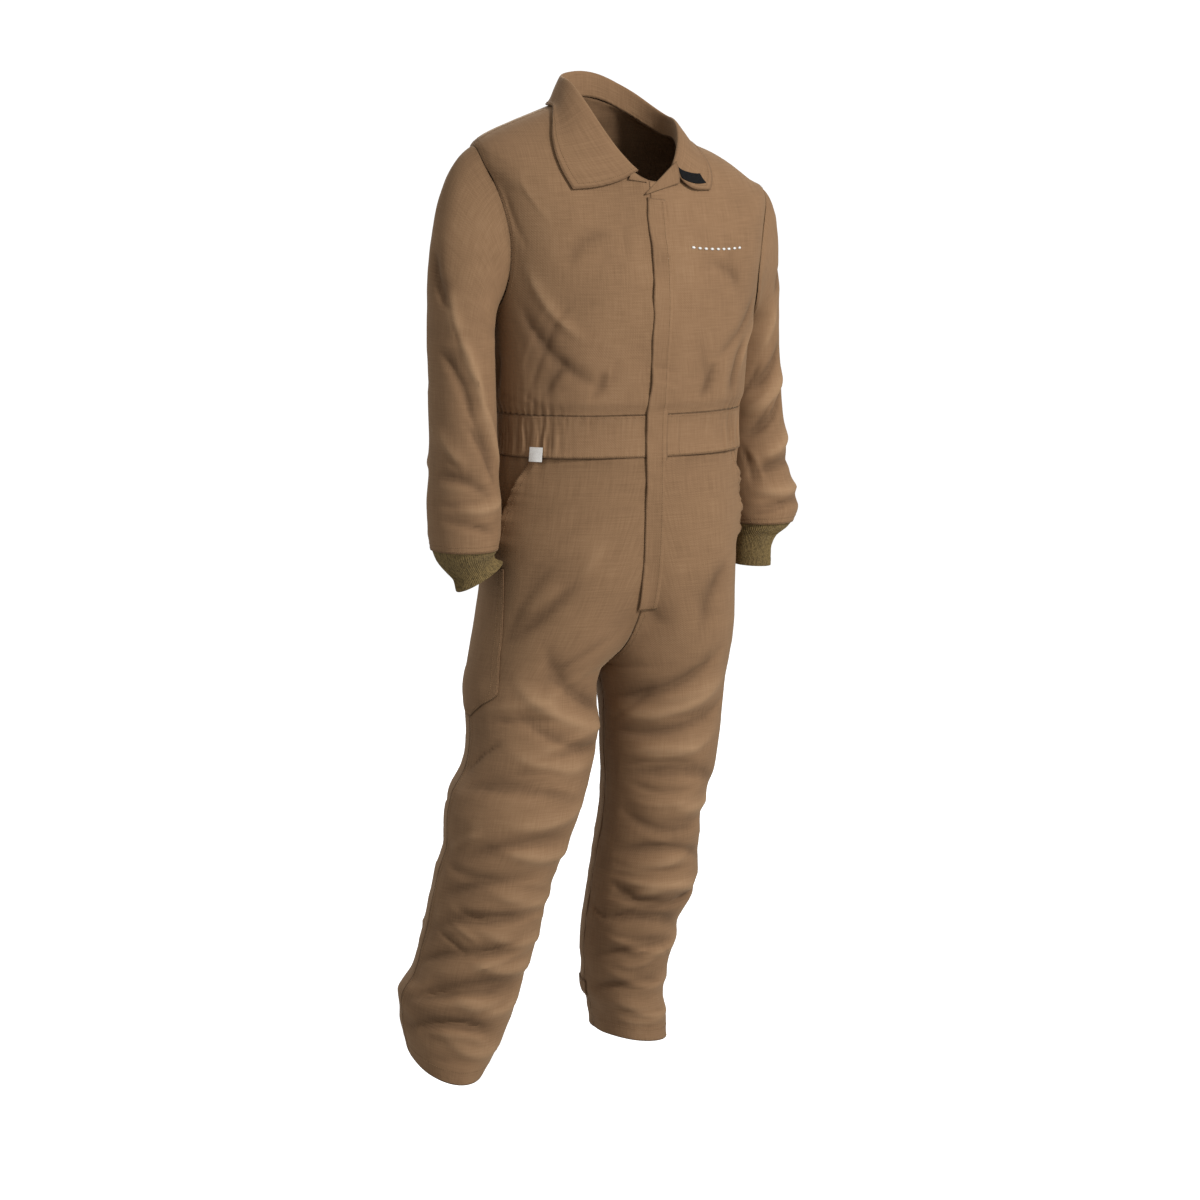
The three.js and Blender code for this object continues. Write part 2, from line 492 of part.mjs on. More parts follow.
// Walls of cloth.
// A wall over a grid of points. at(i, j) gives {point, normal}; closed joins the last column to the first.
function wallGeometry(columns, rows, at, lift, wall, closed = false) {
  const positions = [];
  const across = closed ? columns : columns + 1;
  for (const layer of [0, 1]) {
    for (let j = 0; j <= rows; j += 1) {
      for (let i = 0; i < across; i += 1) {
        const { point, normal } = at(i / columns, j / rows);
        const height = (typeof lift === "function" ? lift(i / columns, j / rows) : lift) - layer * wall;
        const p = point.clone().addScaledVector(normal, height);
        positions.push(p.x - ORIGIN.x, p.y - ORIGIN.y, p.z - ORIGIN.z);
      }
    }
  }
  const id = (layer, i, j) => layer * across * (rows + 1) + j * across + (closed ? i % columns : i);
  const index = [];
  const quad = (a, b, c, d) => index.push(a, b, c, a, c, d);
  for (let j = 0; j < rows; j += 1) {
    for (let i = 0; i < columns; i += 1) {
      quad(id(0, i, j), id(0, i + 1, j), id(0, i + 1, j + 1), id(0, i, j + 1));
      quad(id(1, i, j), id(1, i, j + 1), id(1, i + 1, j + 1), id(1, i + 1, j));
    }
  }
  for (let i = 0; i < columns; i += 1) {
    quad(id(0, i, 0), id(1, i, 0), id(1, i + 1, 0), id(0, i + 1, 0));
    quad(id(0, i, rows), id(0, i + 1, rows), id(1, i + 1, rows), id(1, i, rows));
  }
  if (!closed) {
    for (let j = 0; j < rows; j += 1) {
      quad(id(0, 0, j), id(0, 0, j + 1), id(1, 0, j + 1), id(1, 0, j));
      quad(id(0, columns, j), id(1, columns, j), id(1, columns, j + 1), id(0, columns, j + 1));
    }
  }
  const geometry = new THREE.BufferGeometry();
  geometry.setAttribute("position", new THREE.Float32BufferAttribute(positions, 3));
  geometry.setIndex(volumeOf(positions, index) > 0 ? index : index.reverse());
  return geometry;
}

function volumeOf(positions, index) {
  const corner = (k) => new THREE.Vector3().fromArray(positions, index[k] * 3);
  let six = 0;
  for (let k = 0; k < index.length; k += 3) six += corner(k).dot(corner(k + 1).cross(corner(k + 2)));
  return six;
}

const suit = new THREE.Group();
function add(name, geometry, look) {
  const material = new THREE.MeshStandardMaterial({
    color: look.colour, roughness: look.roughness, metalness: 0,
  });
  const mesh = new THREE.Mesh(geometry.toNonIndexed(), material);
  mesh.name = name;
  suit.add(mesh);
}

// A wall on a surface: edges(v) gives the first and last place round it, rows the places up it.
// out is -1 where the surface runs the other way round, and crowd draws the columns to both ends.
function piece(name, surface, steps, edges, columns, rows, look, options = {}) {
  const { lift = 0, wall = TWILL, closed = false, out = 1, crowd = 0 } = options;
  const at = (u, v) => {
    const b = rows[Math.round(v * (rows.length - 1))];
    const [low, high] = edges(b);
    const a = mix(low, high, u - (crowd * Math.sin(2 * Math.PI * u)) / (2 * Math.PI));
    const point = surface(a, b);
    return { point, normal: normalOf(surface, a, b, steps[0], steps[1]).multiplyScalar(out) };
  };
  add(name, wallGeometry(columns, rows.length - 1, at, lift, wall, closed), look);
}

function evenly(from, to, count) {
  return Array.from({ length: count + 1 }, (_, i) => mix(from, to, i / count));
}

// Bodice.
const gapTrunk = SEAM / 2 / 3.1; // half a seam's space, in degrees of the trunk
const gapLeg = SEAM / 2 / 1.7;
const belowArm = evenly(WAIST_TOP + SEAM / 2, UNDERARM, 5);
const armRings = evenly(0, Math.PI, 9).map((t) => {
  return (SHOULDER_TIP + UNDERARM) / 2 - ((SHOULDER_TIP - UNDERARM) / 2) * Math.cos(t);
});
const overShoulder = evenly(SHOULDER_TIP, NECK, 5);
const bodiceRings = [...belowArm, ...armRings.slice(1), ...overShoulder.slice(1)];
const inArmhole = (ring) => ring > UNDERARM && ring < SHOULDER_TIP;
const cutAt = (ring, depth) => (inArmhole(ring) ? depth * armholeCut(ring) : 0) + gapTrunk;

piece("left_front_bodice", trunk, [0.4, 0.8],
  (ring) => [gapTrunk, 90 - cutAt(ring, ARMHOLE.front)], 8, bodiceRings, KHAKI);
piece("right_front_bodice", trunk, [0.4, 0.8],
  (ring) => [-90 + cutAt(ring, ARMHOLE.front), -gapTrunk], 8, bodiceRings, KHAKI);
piece("back_bodice", trunk, [0.4, 0.8],
  (ring) => [90 + cutAt(ring, ARMHOLE.back), 270 - cutAt(ring, ARMHOLE.back)], 16, bodiceRings, KHAKI);

// Waistband.
const bandRings = evenly(WAIST_LOW + SEAM / 2, WAIST_TOP - SEAM / 2, 2);
const bandLift = (from, to) => (u, v) => {
  const turn = Math.abs(((mix(from, to, u) + 540) % 360) - 180);
  const here = ease(turn, GATHERS.from, GATHERS.from + 12) * (1 - ease(turn, GATHERS.to, GATHERS.to + 12));
  const bulge = 0.5 + 0.5 * Math.sin(Math.PI * v);
  return 0.8 + here * GATHERS.rise * bulge * Math.sin((2 * Math.PI * turn) / GATHERS.pitch);
};
const bandPiece = (name, from, to, columns) => {
  const lift = bandLift(from, to);
  piece(name, trunkBase, [0.4, 0.8], () => [from, to], columns, bandRings, KHAKI, { lift });
};
bandPiece("waistband_left", gapTrunk, 90 - gapTrunk, 28);
bandPiece("waistband_right", -90 + gapTrunk, -gapTrunk, 28);
bandPiece("waistband_back", 90 + gapTrunk, 270 - gapTrunk, 56);

// Trousers.
const seatHeights = [...evenly(WAIST_LOW - SEAM / 2, 862, 5), 836, 811, 782, 758, 738, 721, 708, 701.5];
const legHeights = (side) => {
  const hem = LEG[side][0].height;
  return [...seatHeights, ...evenly(CROTCH - 6, hem, 22)].reverse();
};
const openAt = (height) => (height > CROTCH ? read(SEAT, "open", height) : 0);
const mouthAt = (height) => (height > POCKET.foot ? read(POCKET_MOUTH, "angle", height) : 180);
const gapeAt = (angle, height) => {
  const near = 1 - clamp((mouthAt(height) - angle) / POCKET.reach, 0, 1);
  const along = ease(height, POCKET.foot, 905) * (1 - ease(height, 985, WAIST_LOW));
  return POCKET.gape * near * near * along;
};
for (const side of ["left", "right"]) {
  const surface = (angle, height) => leg(side, angle, height);
  const out = side === "left" ? 1 : -1;
  const heights = legHeights(side);
  const fronts = (height) => [openAt(height) + gapLeg, mouthAt(height) - gapLeg];
  const lift = (u, v) => {
    const height = heights[Math.round(v * (heights.length - 1))];
    const [low, high] = fronts(height);
    return height > POCKET.foot ? gapeAt(mix(low, high, u), height) : 0;
  };
  piece(`${side}_leg_front`, surface, [0.4, 0.8], fronts, 9, heights, KHAKI, { out, lift });
  piece(`${side}_leg_back`, surface, [0.4, 0.8],
    (height) => [180 + gapLeg, 360 - openAt(height) - gapLeg], 9, heights, KHAKI, { out });

  // The side of the hip that shows in the pocket's mouth, tucked under the front's cut edge.
  const facingHeights = evenly(POCKET.foot + 8, WAIST_LOW - SEAM / 2, 8);
  const facing = (height) => [mouthAt(height) - POCKET.under, 180 - gapLeg];
  const sink = (u, v) => {
    const mouth = mouthAt(facingHeights[Math.round(v * (facingHeights.length - 1))]);
    const angle = mix(mouth - POCKET.under, 180, u);
    return -(TWILL + POCKET.sink) * (1 - ease(angle, mouth + 1, mouth + 17));
  };
  piece(`${side}_pocket_facing`, surface, [0.4, 0.8], facing, 5, facingHeights, KHAKI, { out, lift: sink });
}

// Patch pocket on the right thigh, with two cut corners below.
const pocketEdges = (height) => [read(THIGH_POCKET, "front", height), read(THIGH_POCKET, "back", height)];
const pocketHeights = [632, 645, 659, 673, 700, 730, 760, 790, 826, 862];
const pocketLift = (u, v) => {
  const bulge = Math.sin(Math.PI * u) * Math.sin(Math.PI * v ** 0.7);
  return 2 * LAID + TWILL + THIGH_BULGE * bulge;
};
piece("thigh_pocket", (angle, height) => leg("right", angle, height), [0.4, 0.8], pocketEdges, 7,
  pocketHeights, KHAKI, { out: -1, lift: pocketLift });

// Tabs that take in the trouser ends.
for (const [side, from, to, height] of [["left", 298, 364, 147], ["right", 298, 364, 186]]) {
  piece(`${side}_ankle_tab`, (angle, h) => leg(side, angle, h), [0.4, 0.8], () => [from, to], 8,
    [height, height + 13, height + 26], KHAKI, { out: side === "left" ? 1 : -1, lift: 1 + TWILL });
}

// Front placket and label.
const placketRings = [
  ...evenly(PLACKET.top, WAIST_TOP, 16), ...evenly(WAIST_TOP, WAIST_LOW, 2).slice(1),
  ...seatHeights.filter((height) => height >= FLY_END).slice(1),
].reverse();
const placketEdges = () => [PLACKET.right, PLACKET.left];
const placketLift = (u, v) => {
  const ring = placketRings[Math.round(v * (placketRings.length - 1))];
  return 1.4 + TWILL + 1.6 * (1 - ease(ring, FLY_END, 870));
};
piece("front_placket", front, [0.8, 0.8], placketEdges, 3, placketRings, KHAKI, { lift: placketLift });

const LABEL = { low: 1030, high: 1052, from: -58.5, to: -50.5 };
piece("pocket_label", trunkBase, [0.4, 0.8], () => [LABEL.from, LABEL.to], 4,
  evenly(LABEL.low, LABEL.high, 3), WHITE, { lift: 3.6, wall: 1 });

// Collar and lapels.
const collarEnds = [COLLAR.left[0].angle, 360 - COLLAR.right[0].angle];
const collarPlaces = [0, 0.12, 0.24, 0.34, 0.4, 0.46, 0.56, 0.7, 0.85, 1];
piece("collar", collar, [0.5, 0.01], () => collarEnds, 24, collarPlaces, KHAKI,
  { lift: TWILL / 2, crowd: 0.55 });

const HOOK_PATCH = { from: 35.5, to: 47, low: 0.68, high: 0.93 };
piece("collar_patch", collar, [0.5, 0.01], () => [HOOK_PATCH.from, HOOK_PATCH.to], 4,
  evenly(HOOK_PATCH.low, HOOK_PATCH.high, 5), BLACK, { out: -1, lift: TWILL / 2 + 0.9 + 1.2, wall: 1.2 });

// A lapel lies on the bodice between three corners, each an angle and a trunk ring.
function lapel(name, top, foot, tip, under) {
  const surface = (u, v) => {
    const a = mix(mix(foot.angle, top.angle, v), mix(foot.angle, tip.angle, v), u);
    const b = mix(mix(foot.ring, top.ring, v), mix(foot.ring, tip.ring, v), u);
    return trunkBase(a, b);
  };
  piece(name, surface, [0.02, 0.01], () => [0, 1], 4, evenly(0.1, 0.97, 6), KHAKI,
    { out: Math.sign(tip.angle), lift: under + TWILL });
}
lapel("left_lapel", { angle: 30, ring: 1541.5 }, { angle: 0, ring: 1513 }, { angle: 21, ring: 1528 }, 3.7);
lapel("right_lapel", { angle: -11, ring: 1541 }, { angle: -4, ring: 1528 }, { angle: -16, ring: 1531 }, 0.7);

// Sleeves and cuffs.
const sleevePlaces = [0, 0.09, 0.2, 0.33, 0.47, 0.61, 0.74, 0.87, ...evenly(1, 2, 13)];
for (const side of ["left", "right"]) {
  const out = side === "left" ? -1 : 1;
  piece(`${side}_sleeve`, (angle, place) => sleeve(side, angle, place), [0.5, 0.004], () => [0, 360], 18,
    sleevePlaces, KHAKI, { out, closed: true });
  piece(`${side}_cuff`, (angle, down) => cuff(side, angle, down), [0.5, 0.4], () => [0, 360], 16,
    [0, 9, 20, 31, CUFF[side][4].drop], RIB, { out, closed: true, wall: KNIT });
}

export default suit;
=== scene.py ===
# %% [markdown]
# A boiler suit in brushed cotton twill, filled out as it is when worn.
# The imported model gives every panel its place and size. This lesson lays fine cloth over it: each
# panel is one grid of small faces, moved onto the same three surfaces that the model is built on,
# the trunk, the legs and the sleeves. Folds, wrinkles and puckers are added to those surfaces, so
# that pockets, tabs and stitches that lie on a panel follow it wherever it goes.

import bmesh
import bpy
import numpy as np
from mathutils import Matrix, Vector


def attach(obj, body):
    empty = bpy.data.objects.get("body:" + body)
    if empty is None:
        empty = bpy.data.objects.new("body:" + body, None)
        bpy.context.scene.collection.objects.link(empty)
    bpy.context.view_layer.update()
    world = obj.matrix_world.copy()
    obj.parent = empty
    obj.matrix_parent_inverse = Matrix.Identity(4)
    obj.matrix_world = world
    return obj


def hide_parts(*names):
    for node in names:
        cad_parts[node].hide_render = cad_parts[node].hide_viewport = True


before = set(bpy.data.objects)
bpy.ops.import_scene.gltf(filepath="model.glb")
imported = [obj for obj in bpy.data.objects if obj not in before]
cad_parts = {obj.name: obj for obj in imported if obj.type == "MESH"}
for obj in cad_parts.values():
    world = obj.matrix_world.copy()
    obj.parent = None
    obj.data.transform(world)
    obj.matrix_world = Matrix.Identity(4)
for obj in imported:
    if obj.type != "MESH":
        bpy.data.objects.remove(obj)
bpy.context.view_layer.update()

# %% [markdown]
# The camera comes first, because every later choice is judged through it. It looks a little down
# on the suit, from the wearer's right, through a long lens, as a photographer of clothing would.

# %% Camera
FLOOR = -1.5  # the floor below the shoulders, in metres
CAMERA = {"place": (-1.7905, -4.3539, 0.040), "turn": -22.0, "down": 9.0, "lens": 90.75}
scene = bpy.context.scene
eye = bpy.data.objects.new("camera", bpy.data.cameras.new("camera"))
scene.collection.objects.link(eye)
eye.location = CAMERA["place"]
eye.rotation_euler = np.radians((90 - CAMERA["down"], 0, CAMERA["turn"]))
eye.data.lens = CAMERA["lens"]
eye.data.sensor_width = 36
scene.camera = eye
scene.view_settings.view_transform = "Standard"
print("camera", CAMERA)

# %% [markdown]
# Soft studio light. A wide key light stands in front, above and to the camera's right, with a
# smaller one below it for the trousers, so that the folds turn dark on their lower left sides. A
# weak fill and a low surround leave those sides their depth. Behind and below is a white studio
# cove: a floor that curves up into a round wall. It is only looked at and lights nothing, so the
# surround does the same work from every side.

# %% Lights and surround
def lamp(name, place, aim, size, power):
    data = bpy.data.lights.new(name, "AREA")
    data.shape, data.size, data.energy = "DISK", size, power
    made = bpy.data.objects.new(name, data)
    scene.collection.objects.link(made)
    made.location = place
    made.rotation_euler = (Vector(aim) - Vector(place)).to_track_quat("-Z", "Y").to_euler()


lamp("key", (1.7, -3.5, 2.0), (0, 0, -0.6), 1.0, 150)
lamp("low key", (1.9, -3.4, -0.4), (0, 0, -1.0), 0.9, 34)
lamp("fill", (-3.6, -2.0, 0.4), (0, 0, -0.8), 2.4, 9)
lamp("back", (0.6, 3.4, 1.6), (0, 0, -0.6), 2.6, 60)
world = bpy.data.worlds.new("surround")
scene.world = world
world.use_nodes = True
world.node_tree.nodes["Background"].inputs["Color"].default_value = (1, 1, 1, 1)
world.node_tree.nodes["Background"].inputs["Strength"].default_value = 0.4

# %% [markdown]
# Materials are node trees. One helper adds a node with its settings and links, and one function
# turns the colours, written as they look on a screen, into the linear values that shaders use.

# %% Node and colour helpers
def linear(hex_colour):
    parts = [int(hex_colour[i:i + 2], 16) / 255 for i in (1, 3, 5)]
    return [c / 12.92 if c <= 0.04045 else ((c + 0.055) / 1.055) ** 2.4 for c in parts] + [1]


def node(tree, kind, inputs=None, **settings):
    """Adds a node. settings are its properties, inputs its sockets' values or what links to them."""
    made = tree.nodes.new(kind)
    for key, value in settings.items():
        setattr(made, key, value)
    for key, value in (inputs or {}).items():
        if isinstance(value, bpy.types.NodeSocket):
            tree.links.new(value, made.inputs[key])
        else:
            made.inputs[key].default_value = value
    return made


def start(name):
    """A new material with its shader, ready for a pattern."""
    material = bpy.data.materials.new(name)
    material.use_nodes = True
    return material, material.node_tree, material.node_tree.nodes["Principled BSDF"]


def ramp(tree, value, low, high, to_low=0.0, to_high=1.0):
    """Maps a value from one range to another and holds it there."""
    inputs = {0: value, 1: low, 2: high, 3: to_low, 4: to_high}
    return node(tree, "ShaderNodeMapRange", inputs).outputs[0]


def stretched(tree, x, y):
    """The cloth's own coordinates, in metres, stretched so that a pattern has x by y mm cells."""
    uv = node(tree, "ShaderNodeUVMap", uv_map="cloth").outputs[0]
    return node(tree, "ShaderNodeMapping", {0: uv, 3: (1000 / x, 1000 / y, 1)}).outputs[0]


def noise(tree, x, y, detail, roughness=0.5):
    """Clouds with cells of x by y mm."""
    inputs = {"Vector": stretched(tree, x, y), "Scale": 1.0, "Detail": detail, "Roughness": roughness}
    return node(tree, "ShaderNodeTexNoise", inputs).outputs[0]


def maths(tree, operation, first, second):
    return node(tree, "ShaderNodeMath", {0: first, 1: second}, operation=operation).outputs[0]


def blend(tree, share, first, second):
    """Goes from the first colour to the second as share goes from 0 to 1."""
    inputs = {0: share, 6: first, 7: second}
    return node(tree, "ShaderNodeMix", inputs, data_type="RGBA").outputs[2]


def bump(tree, height, distance, strength, under=None, **settings):
    """A fine relief, distance metres deep, on top of the relief under it."""
    inputs = {"Height": height, "Distance": distance, "Strength": strength}
    if under is not None:
        inputs["Normal"] = under
    return node(tree, "ShaderNodeBump", inputs, **settings).outputs[0]


# %% [markdown]
# Brushed cotton twill. Twill is woven with floats that step aside row by row, so that its face
# shows fine diagonal ribs, and brushing raises a nap that glows softly at grazing angles. Real
# ribs are 0.8 mm apart, too fine for this view, so they are drawn 2.6 mm apart. The dye takes
# unevenly along single threads, which gives short streaks both ways. The colour also follows the
# folds: crests are painted paler, partly as rubbed wear and partly as painted highlight, and the
# hollows between them darker, as painted shade. Close to a panel's edge the cloth is painted
# darker, as painted shade in the seam's groove.

# %% Twill
TWILL_RIB = 2.6  # mm from rib to rib, drawn about three times its real size so that it shows
ONE_RIB = 0.444  # the wave texture's scale that draws one diagonal rib in a cell
COLOURS = {"twill": "#87684b", "pale": "#a08060", "deep": "#523c29"}


def twill(name):
    material, tree, shader = start(name)
    fold_wear_and_shade, seam = (node(tree, "ShaderNodeAttribute", attribute_name=kept).outputs["Fac"]
                 for kept in ("fold_wear_and_shade", "seam"))
    threads = maths(tree, "ADD", noise(tree, 1.6, 46, 2.0, 0.6), noise(tree, 38, 1.8, 2.0, 0.6))
    cloud = noise(tree, 120, 170, 3.0, 0.55)
    uneven = maths(tree, "ADD", ramp(tree, threads, 0.7, 1.3, -0.16, 0.16),
                   ramp(tree, cloud, 0.3, 0.7, -0.12, 0.12))
    # Painted shade and highlight: the fold relief darkens the hollows and lightens the crests, the crests
    # partly as rubbed wear.
    dye_wear_and_fold_shade = maths(tree, "ADD", uneven, ramp(tree, fold_wear_and_shade, -5.0, 5.0, -0.5, 0.4))
    # Painted shade: the cloth is darker within 3 mm of a panel's edge, where the seam's groove lies.
    shade = maths(tree, "ADD", dye_wear_and_fold_shade, ramp(tree, seam, 0.6, 3.0, -0.35, 0.0))
    light = blend(tree, ramp(tree, shade, 0.0, 0.7), linear(COLOURS["twill"]), linear(COLOURS["pale"]))
    dark = blend(tree, ramp(tree, shade, -0.9, 0.0, 1.0, 0.0), light, linear(COLOURS["deep"]))
    tree.links.new(dark, shader.inputs["Base Color"])
    ribs = node(tree, "ShaderNodeTexWave", {"Vector": stretched(tree, TWILL_RIB, TWILL_RIB),
                                            "Scale": ONE_RIB, "Distortion": 0.7, "Detail": 1.0},
                bands_direction="DIAGONAL").outputs[1]
    crumple = noise(tree, 9, 12, 3.0)
    pucker = maths(tree, "MULTIPLY", crumple, ramp(tree, seam, 1.0, 14.0, 1.0, 0.0))
    groove = ramp(tree, seam, 0.0, 2.2, 0.0, 1.0)
    weave = bump(tree, ribs, 0.00022, 0.55)
    nap = bump(tree, crumple, 0.0005, 0.5, weave)
    puckered = bump(tree, pucker, 0.0022, 0.8, nap)
    tree.links.new(bump(tree, groove, 0.0012, 0.9, puckered), shader.inputs["Normal"])
    tree.links.new(ramp(tree, threads, 0.6, 1.4, 0.96, 0.8), shader.inputs["Roughness"])
    shader.inputs["Sheen Weight"].default_value = 0.22
    shader.inputs["Sheen Roughness"].default_value = 0.45
    shader.inputs["Sheen Tint"].default_value = linear("#e8cda8")
    shader.inputs["Specular IOR Level"].default_value = 0.25
    return material


TWILL = twill("khaki brushed cotton twill")
print("made", TWILL.name)

# %% [markdown]
# The small materials. The cuffs are a rib knit: its ribs are real relief on the piece, and the
# knitted loops between them are drawn here as short dashes. Sewing thread is glossy spun
# polyester, close to the cloth's colour. The tab on the pocket is white woven tape, and the
# patch on the collar is hook tape, a black weave with rows of stiff loops cut open.

# %% Knit, thread, tape and hooks
def plain_cloth(name, colour, other, cells, roughness, depth, sheen=0.0):
    material, tree, shader = start(name)
    loops = node(tree, "ShaderNodeTexVoronoi", {"Vector": stretched(tree, *cells), "Scale": 1.0})
    spread = loops.outputs["Distance"]
    mixed = maths(tree, "MULTIPLY", spread, noise(tree, 6, 6, 4.0))
    tint = blend(tree, ramp(tree, mixed, 0.05, 0.5), linear(colour), linear(other))
    tree.links.new(tint, shader.inputs["Base Color"])
    tree.links.new(bump(tree, spread, depth, 0.7, invert=True), shader.inputs["Normal"])
    shader.inputs["Roughness"].default_value = roughness
    shader.inputs["Sheen Weight"].default_value = sheen
    shader.inputs["Sheen Tint"].default_value = linear("#e5d2ae")
    shader.inputs["Specular IOR Level"].default_value = 0.2
    return material


KNIT = plain_cloth("olive rib knit", "#857048", "#54462c", (1.4, 2.2), 0.95, 0.0006, 0.3)
TAPE = plain_cloth("white woven tape", "#eceae6", "#d5d2cc", (0.8, 0.8), 0.7, 0.0002)
HOOKS = plain_cloth("black hook tape", "#141415", "#050505", (1.5, 1.5), 0.9, 0.0006)
THREAD = plain_cloth("spun sewing thread", "#9c7c5b", "#7c6046", (0.5, 0.5), 0.6, 0.0001)
WHITE_THREAD = plain_cloth("white rayon thread", "#f4f3f0", "#dddbd6", (0.5, 0.5), 0.45, 0.0001)
print("materials", len(bpy.data.materials))

# %% [markdown]
# The surfaces. Each is a stack of rings: a table gives every ring its height and its reach, in
# millimetres from the middle of the floor under the wearer, and a smooth curve through the rows
# fills in between. These are the driving sizes of the model, so the cloth lies where it lies.

# %% Reading tables
def table(columns, rows):
    names = columns.split()
    kept = {name: np.array([row[i] for row in rows], float) for i, name in enumerate(names)}
    return {"key": names[0], **kept}


def ease(x, low, high):
    t = np.clip((x - low) / (high - low), 0, 1)
    return t * t * (3 - 2 * t)


def read(rows, column, at):
    """A column of a table at some place, by a curve through every row that never overshoots."""
    keys, values = rows[rows["key"]], rows[column]
    at = np.clip(at, keys[0], keys[-1])
    i = np.clip(np.searchsorted(keys, at) - 1, 0, len(keys) - 2)
    slope = np.diff(values) / np.diff(keys)
    turning = slope[:-1] * slope[1:] <= 0
    sums = np.where(turning, 1, slope[:-1] + slope[1:])
    inner = np.where(turning, 0, 2 * slope[:-1] * slope[1:] / sums)
    tangent = np.concatenate([slope[:1], inner, slope[-1:]])
    span = keys[i + 1] - keys[i]
    t = (at - keys[i]) / span
    s = 1 - t
    level = values[i] * (1 + 2 * t) * s * s + values[i + 1] * t * t * (3 - 2 * t)
    return level + tangent[i] * span * t * s * s - tangent[i + 1] * span * t * t * s


# %% Sizes and rings
WALL = {"twill": 1.8, "collar": 2.0, "knit": 2.6, "tape": 0.8, "hooks": 1.2}  # mm
SEAM = 0.3  # mm between two pieces that are sewn together
ORIGIN = np.array([8.0, 5.0, 1500.0])  # the shoulders, from the middle of the floor
WAIST_TOP, WAIST_LOW, UNDERARM, SHOULDER_TIP, NECK = 1100, 1036, 1245, 1471, 1543
CROTCH, FLY_END, SLEEVE_TOP = 700, 797, 1215
ARMHOLE = {"front": 25, "back": 23}  # degrees that its curve cuts into the front and the back
ARM_MIDDLE, ARM_HALF = (SHOULDER_TIP + UNDERARM) / 2, (SHOULDER_TIP - UNDERARM) / 2
SIGN = {"left": 1, "right": -1}
FOLD_SCALE = {"trunk": 3.1, "leg": 1.75, "sleeve": 1.05}  # mm of cloth to a degree, about

TRUNK = table("side front back x y half chest spine square drop", [
    [1030, 1030, 1030, 0, 0, 199, 142, 146, 2.2, 0],
    [1066, 1066, 1066, 0, 0, 196, 141, 143, 2.2, 0],
    [1100, 1100, 1100, 0, 0, 197, 144, 146, 2.2, 0],
    [1124, 1121, 1126, 1, 0, 204, 151, 154, 2.2, 0],
    [1160, 1152, 1164, 2, 0, 205, 152, 153, 2.25, 0.01],
    [1200, 1184, 1206, 3, 0, 206, 153, 150, 2.3, 0.02],
    [1245, 1220, 1254, 5, 0, 212, 154, 150, 2.3, 0.035],
    [1290, 1254, 1302, 7, 1, 217, 154, 150, 2.3, 0.055],
    [1340, 1290, 1355, 8, 2, 222, 152, 148, 2.3, 0.08],
    [1390, 1324, 1408, 9, 4, 229, 148, 142, 2.25, 0.1],
    [1430, 1352, 1452, 9, 6, 235, 144, 132, 2.2, 0.12],
    [1455, 1371, 1480, 8, 8, 240, 141, 121, 2.15, 0.13],
    [1471, 1385, 1499, 8, 9, 237, 139, 112, 2.1, 0.135],
    [1488, 1400, 1518, 8, 10, 213, 136, 102, 2.05, 0.16],
    [1505, 1414, 1535, 8, 11, 184, 134, 92, 2, 0.16],
    [1518, 1427, 1548, 8, 12, 157, 132, 83, 2, 0.17],
    [1531, 1440, 1560, 8, 13, 123, 130, 75, 2, 0.21],
    [1543, 1452, 1571, 8, 14, 88, 128, 67, 2, 0.3],
])
# Above the crotch: how far each leg is open towards the other, and where the middle seam lies.
SEAT = table("height open middle", [
    [700, 0, -33], [704, 12, -31], [712, 24, -28], [730, 38, -20], [760, 51, -12],
    [811, 65, -4], [880, 77, -1], [950, 85, 0], [1036, 90, 0], [1060, 90, 0],
])
LEG = {
    "right": table("height outer inner y front back", [
        [108, -362, -246, -42, 82, 80], [160, -372, -211, -42, 88, 86],
        [200, -374, -190, -44, 92, 91], [240, -353, -178, -47, 92, 92],
        [280, -342, -162, -49, 93, 92], [320, -332, -150, -52, 93, 93],
        [360, -324, -140, -54, 94, 94], [400, -316, -127, -57, 95, 95],
        [440, -303, -109, -58, 98, 96], [480, -301, -91, -56, 100, 100],
        [520, -291, -75, -50, 102, 102], [560, -265, -61, -41, 101, 103],
        [600, -254, -49, -29, 103, 108], [640, -249, -44, -15, 106, 114],
        [670, -243, -43, -6, 110, 120], [700, -234, -33, 0, 115, 128],
        [760, -220, -12, 0, 128, 150], [811, -214, -4, 0, 135, 160],
        [880, -210, -1, 0, 139, 163], [950, -207, 0, 0, 141, 156],
        [1036, -199, 0, 0, 142, 146], [1060, -196, 0, 0, 141, 144],
    ]),
    "left": table("height outer inner y front back", [
        [88, 92, -27, 25, 78, 78], [120, 91, -31, 23, 80, 80], [160, 83, -43, 19, 80, 80],
        [200, 88, -45, 15, 84, 84], [240, 98, -48, 11, 87, 87], [280, 104, -46, 7, 88, 88],
        [320, 127, -42, 3, 91, 90], [360, 136, -37, -1, 92, 92], [400, 134, -32, -5, 93, 93],
        [440, 134, -26, -9, 95, 95], [480, 139, -21, -9, 96, 97], [520, 158, -20, -8, 97, 99],
        [560, 166, -21, -6, 98, 102], [600, 172, -20, -4, 101, 107],
        [640, 176, -20, -2, 104, 113], [670, 179, -25, -1, 109, 120],
        [700, 185, -33, 0, 115, 128], [760, 193, -12, 0, 128, 150],
        [811, 194, -4, 0, 135, 160], [880, 196, -1, 0, 139, 163],
        [950, 199, 0, 0, 141, 156], [1036, 199, 0, 0, 142, 146], [1060, 196, 0, 0, 141, 144],
    ]),
}
HEM_SLOPE = {"right": (-0.1, 0.38), "left": (-0.15, 0)}
HEM_REACH = 160
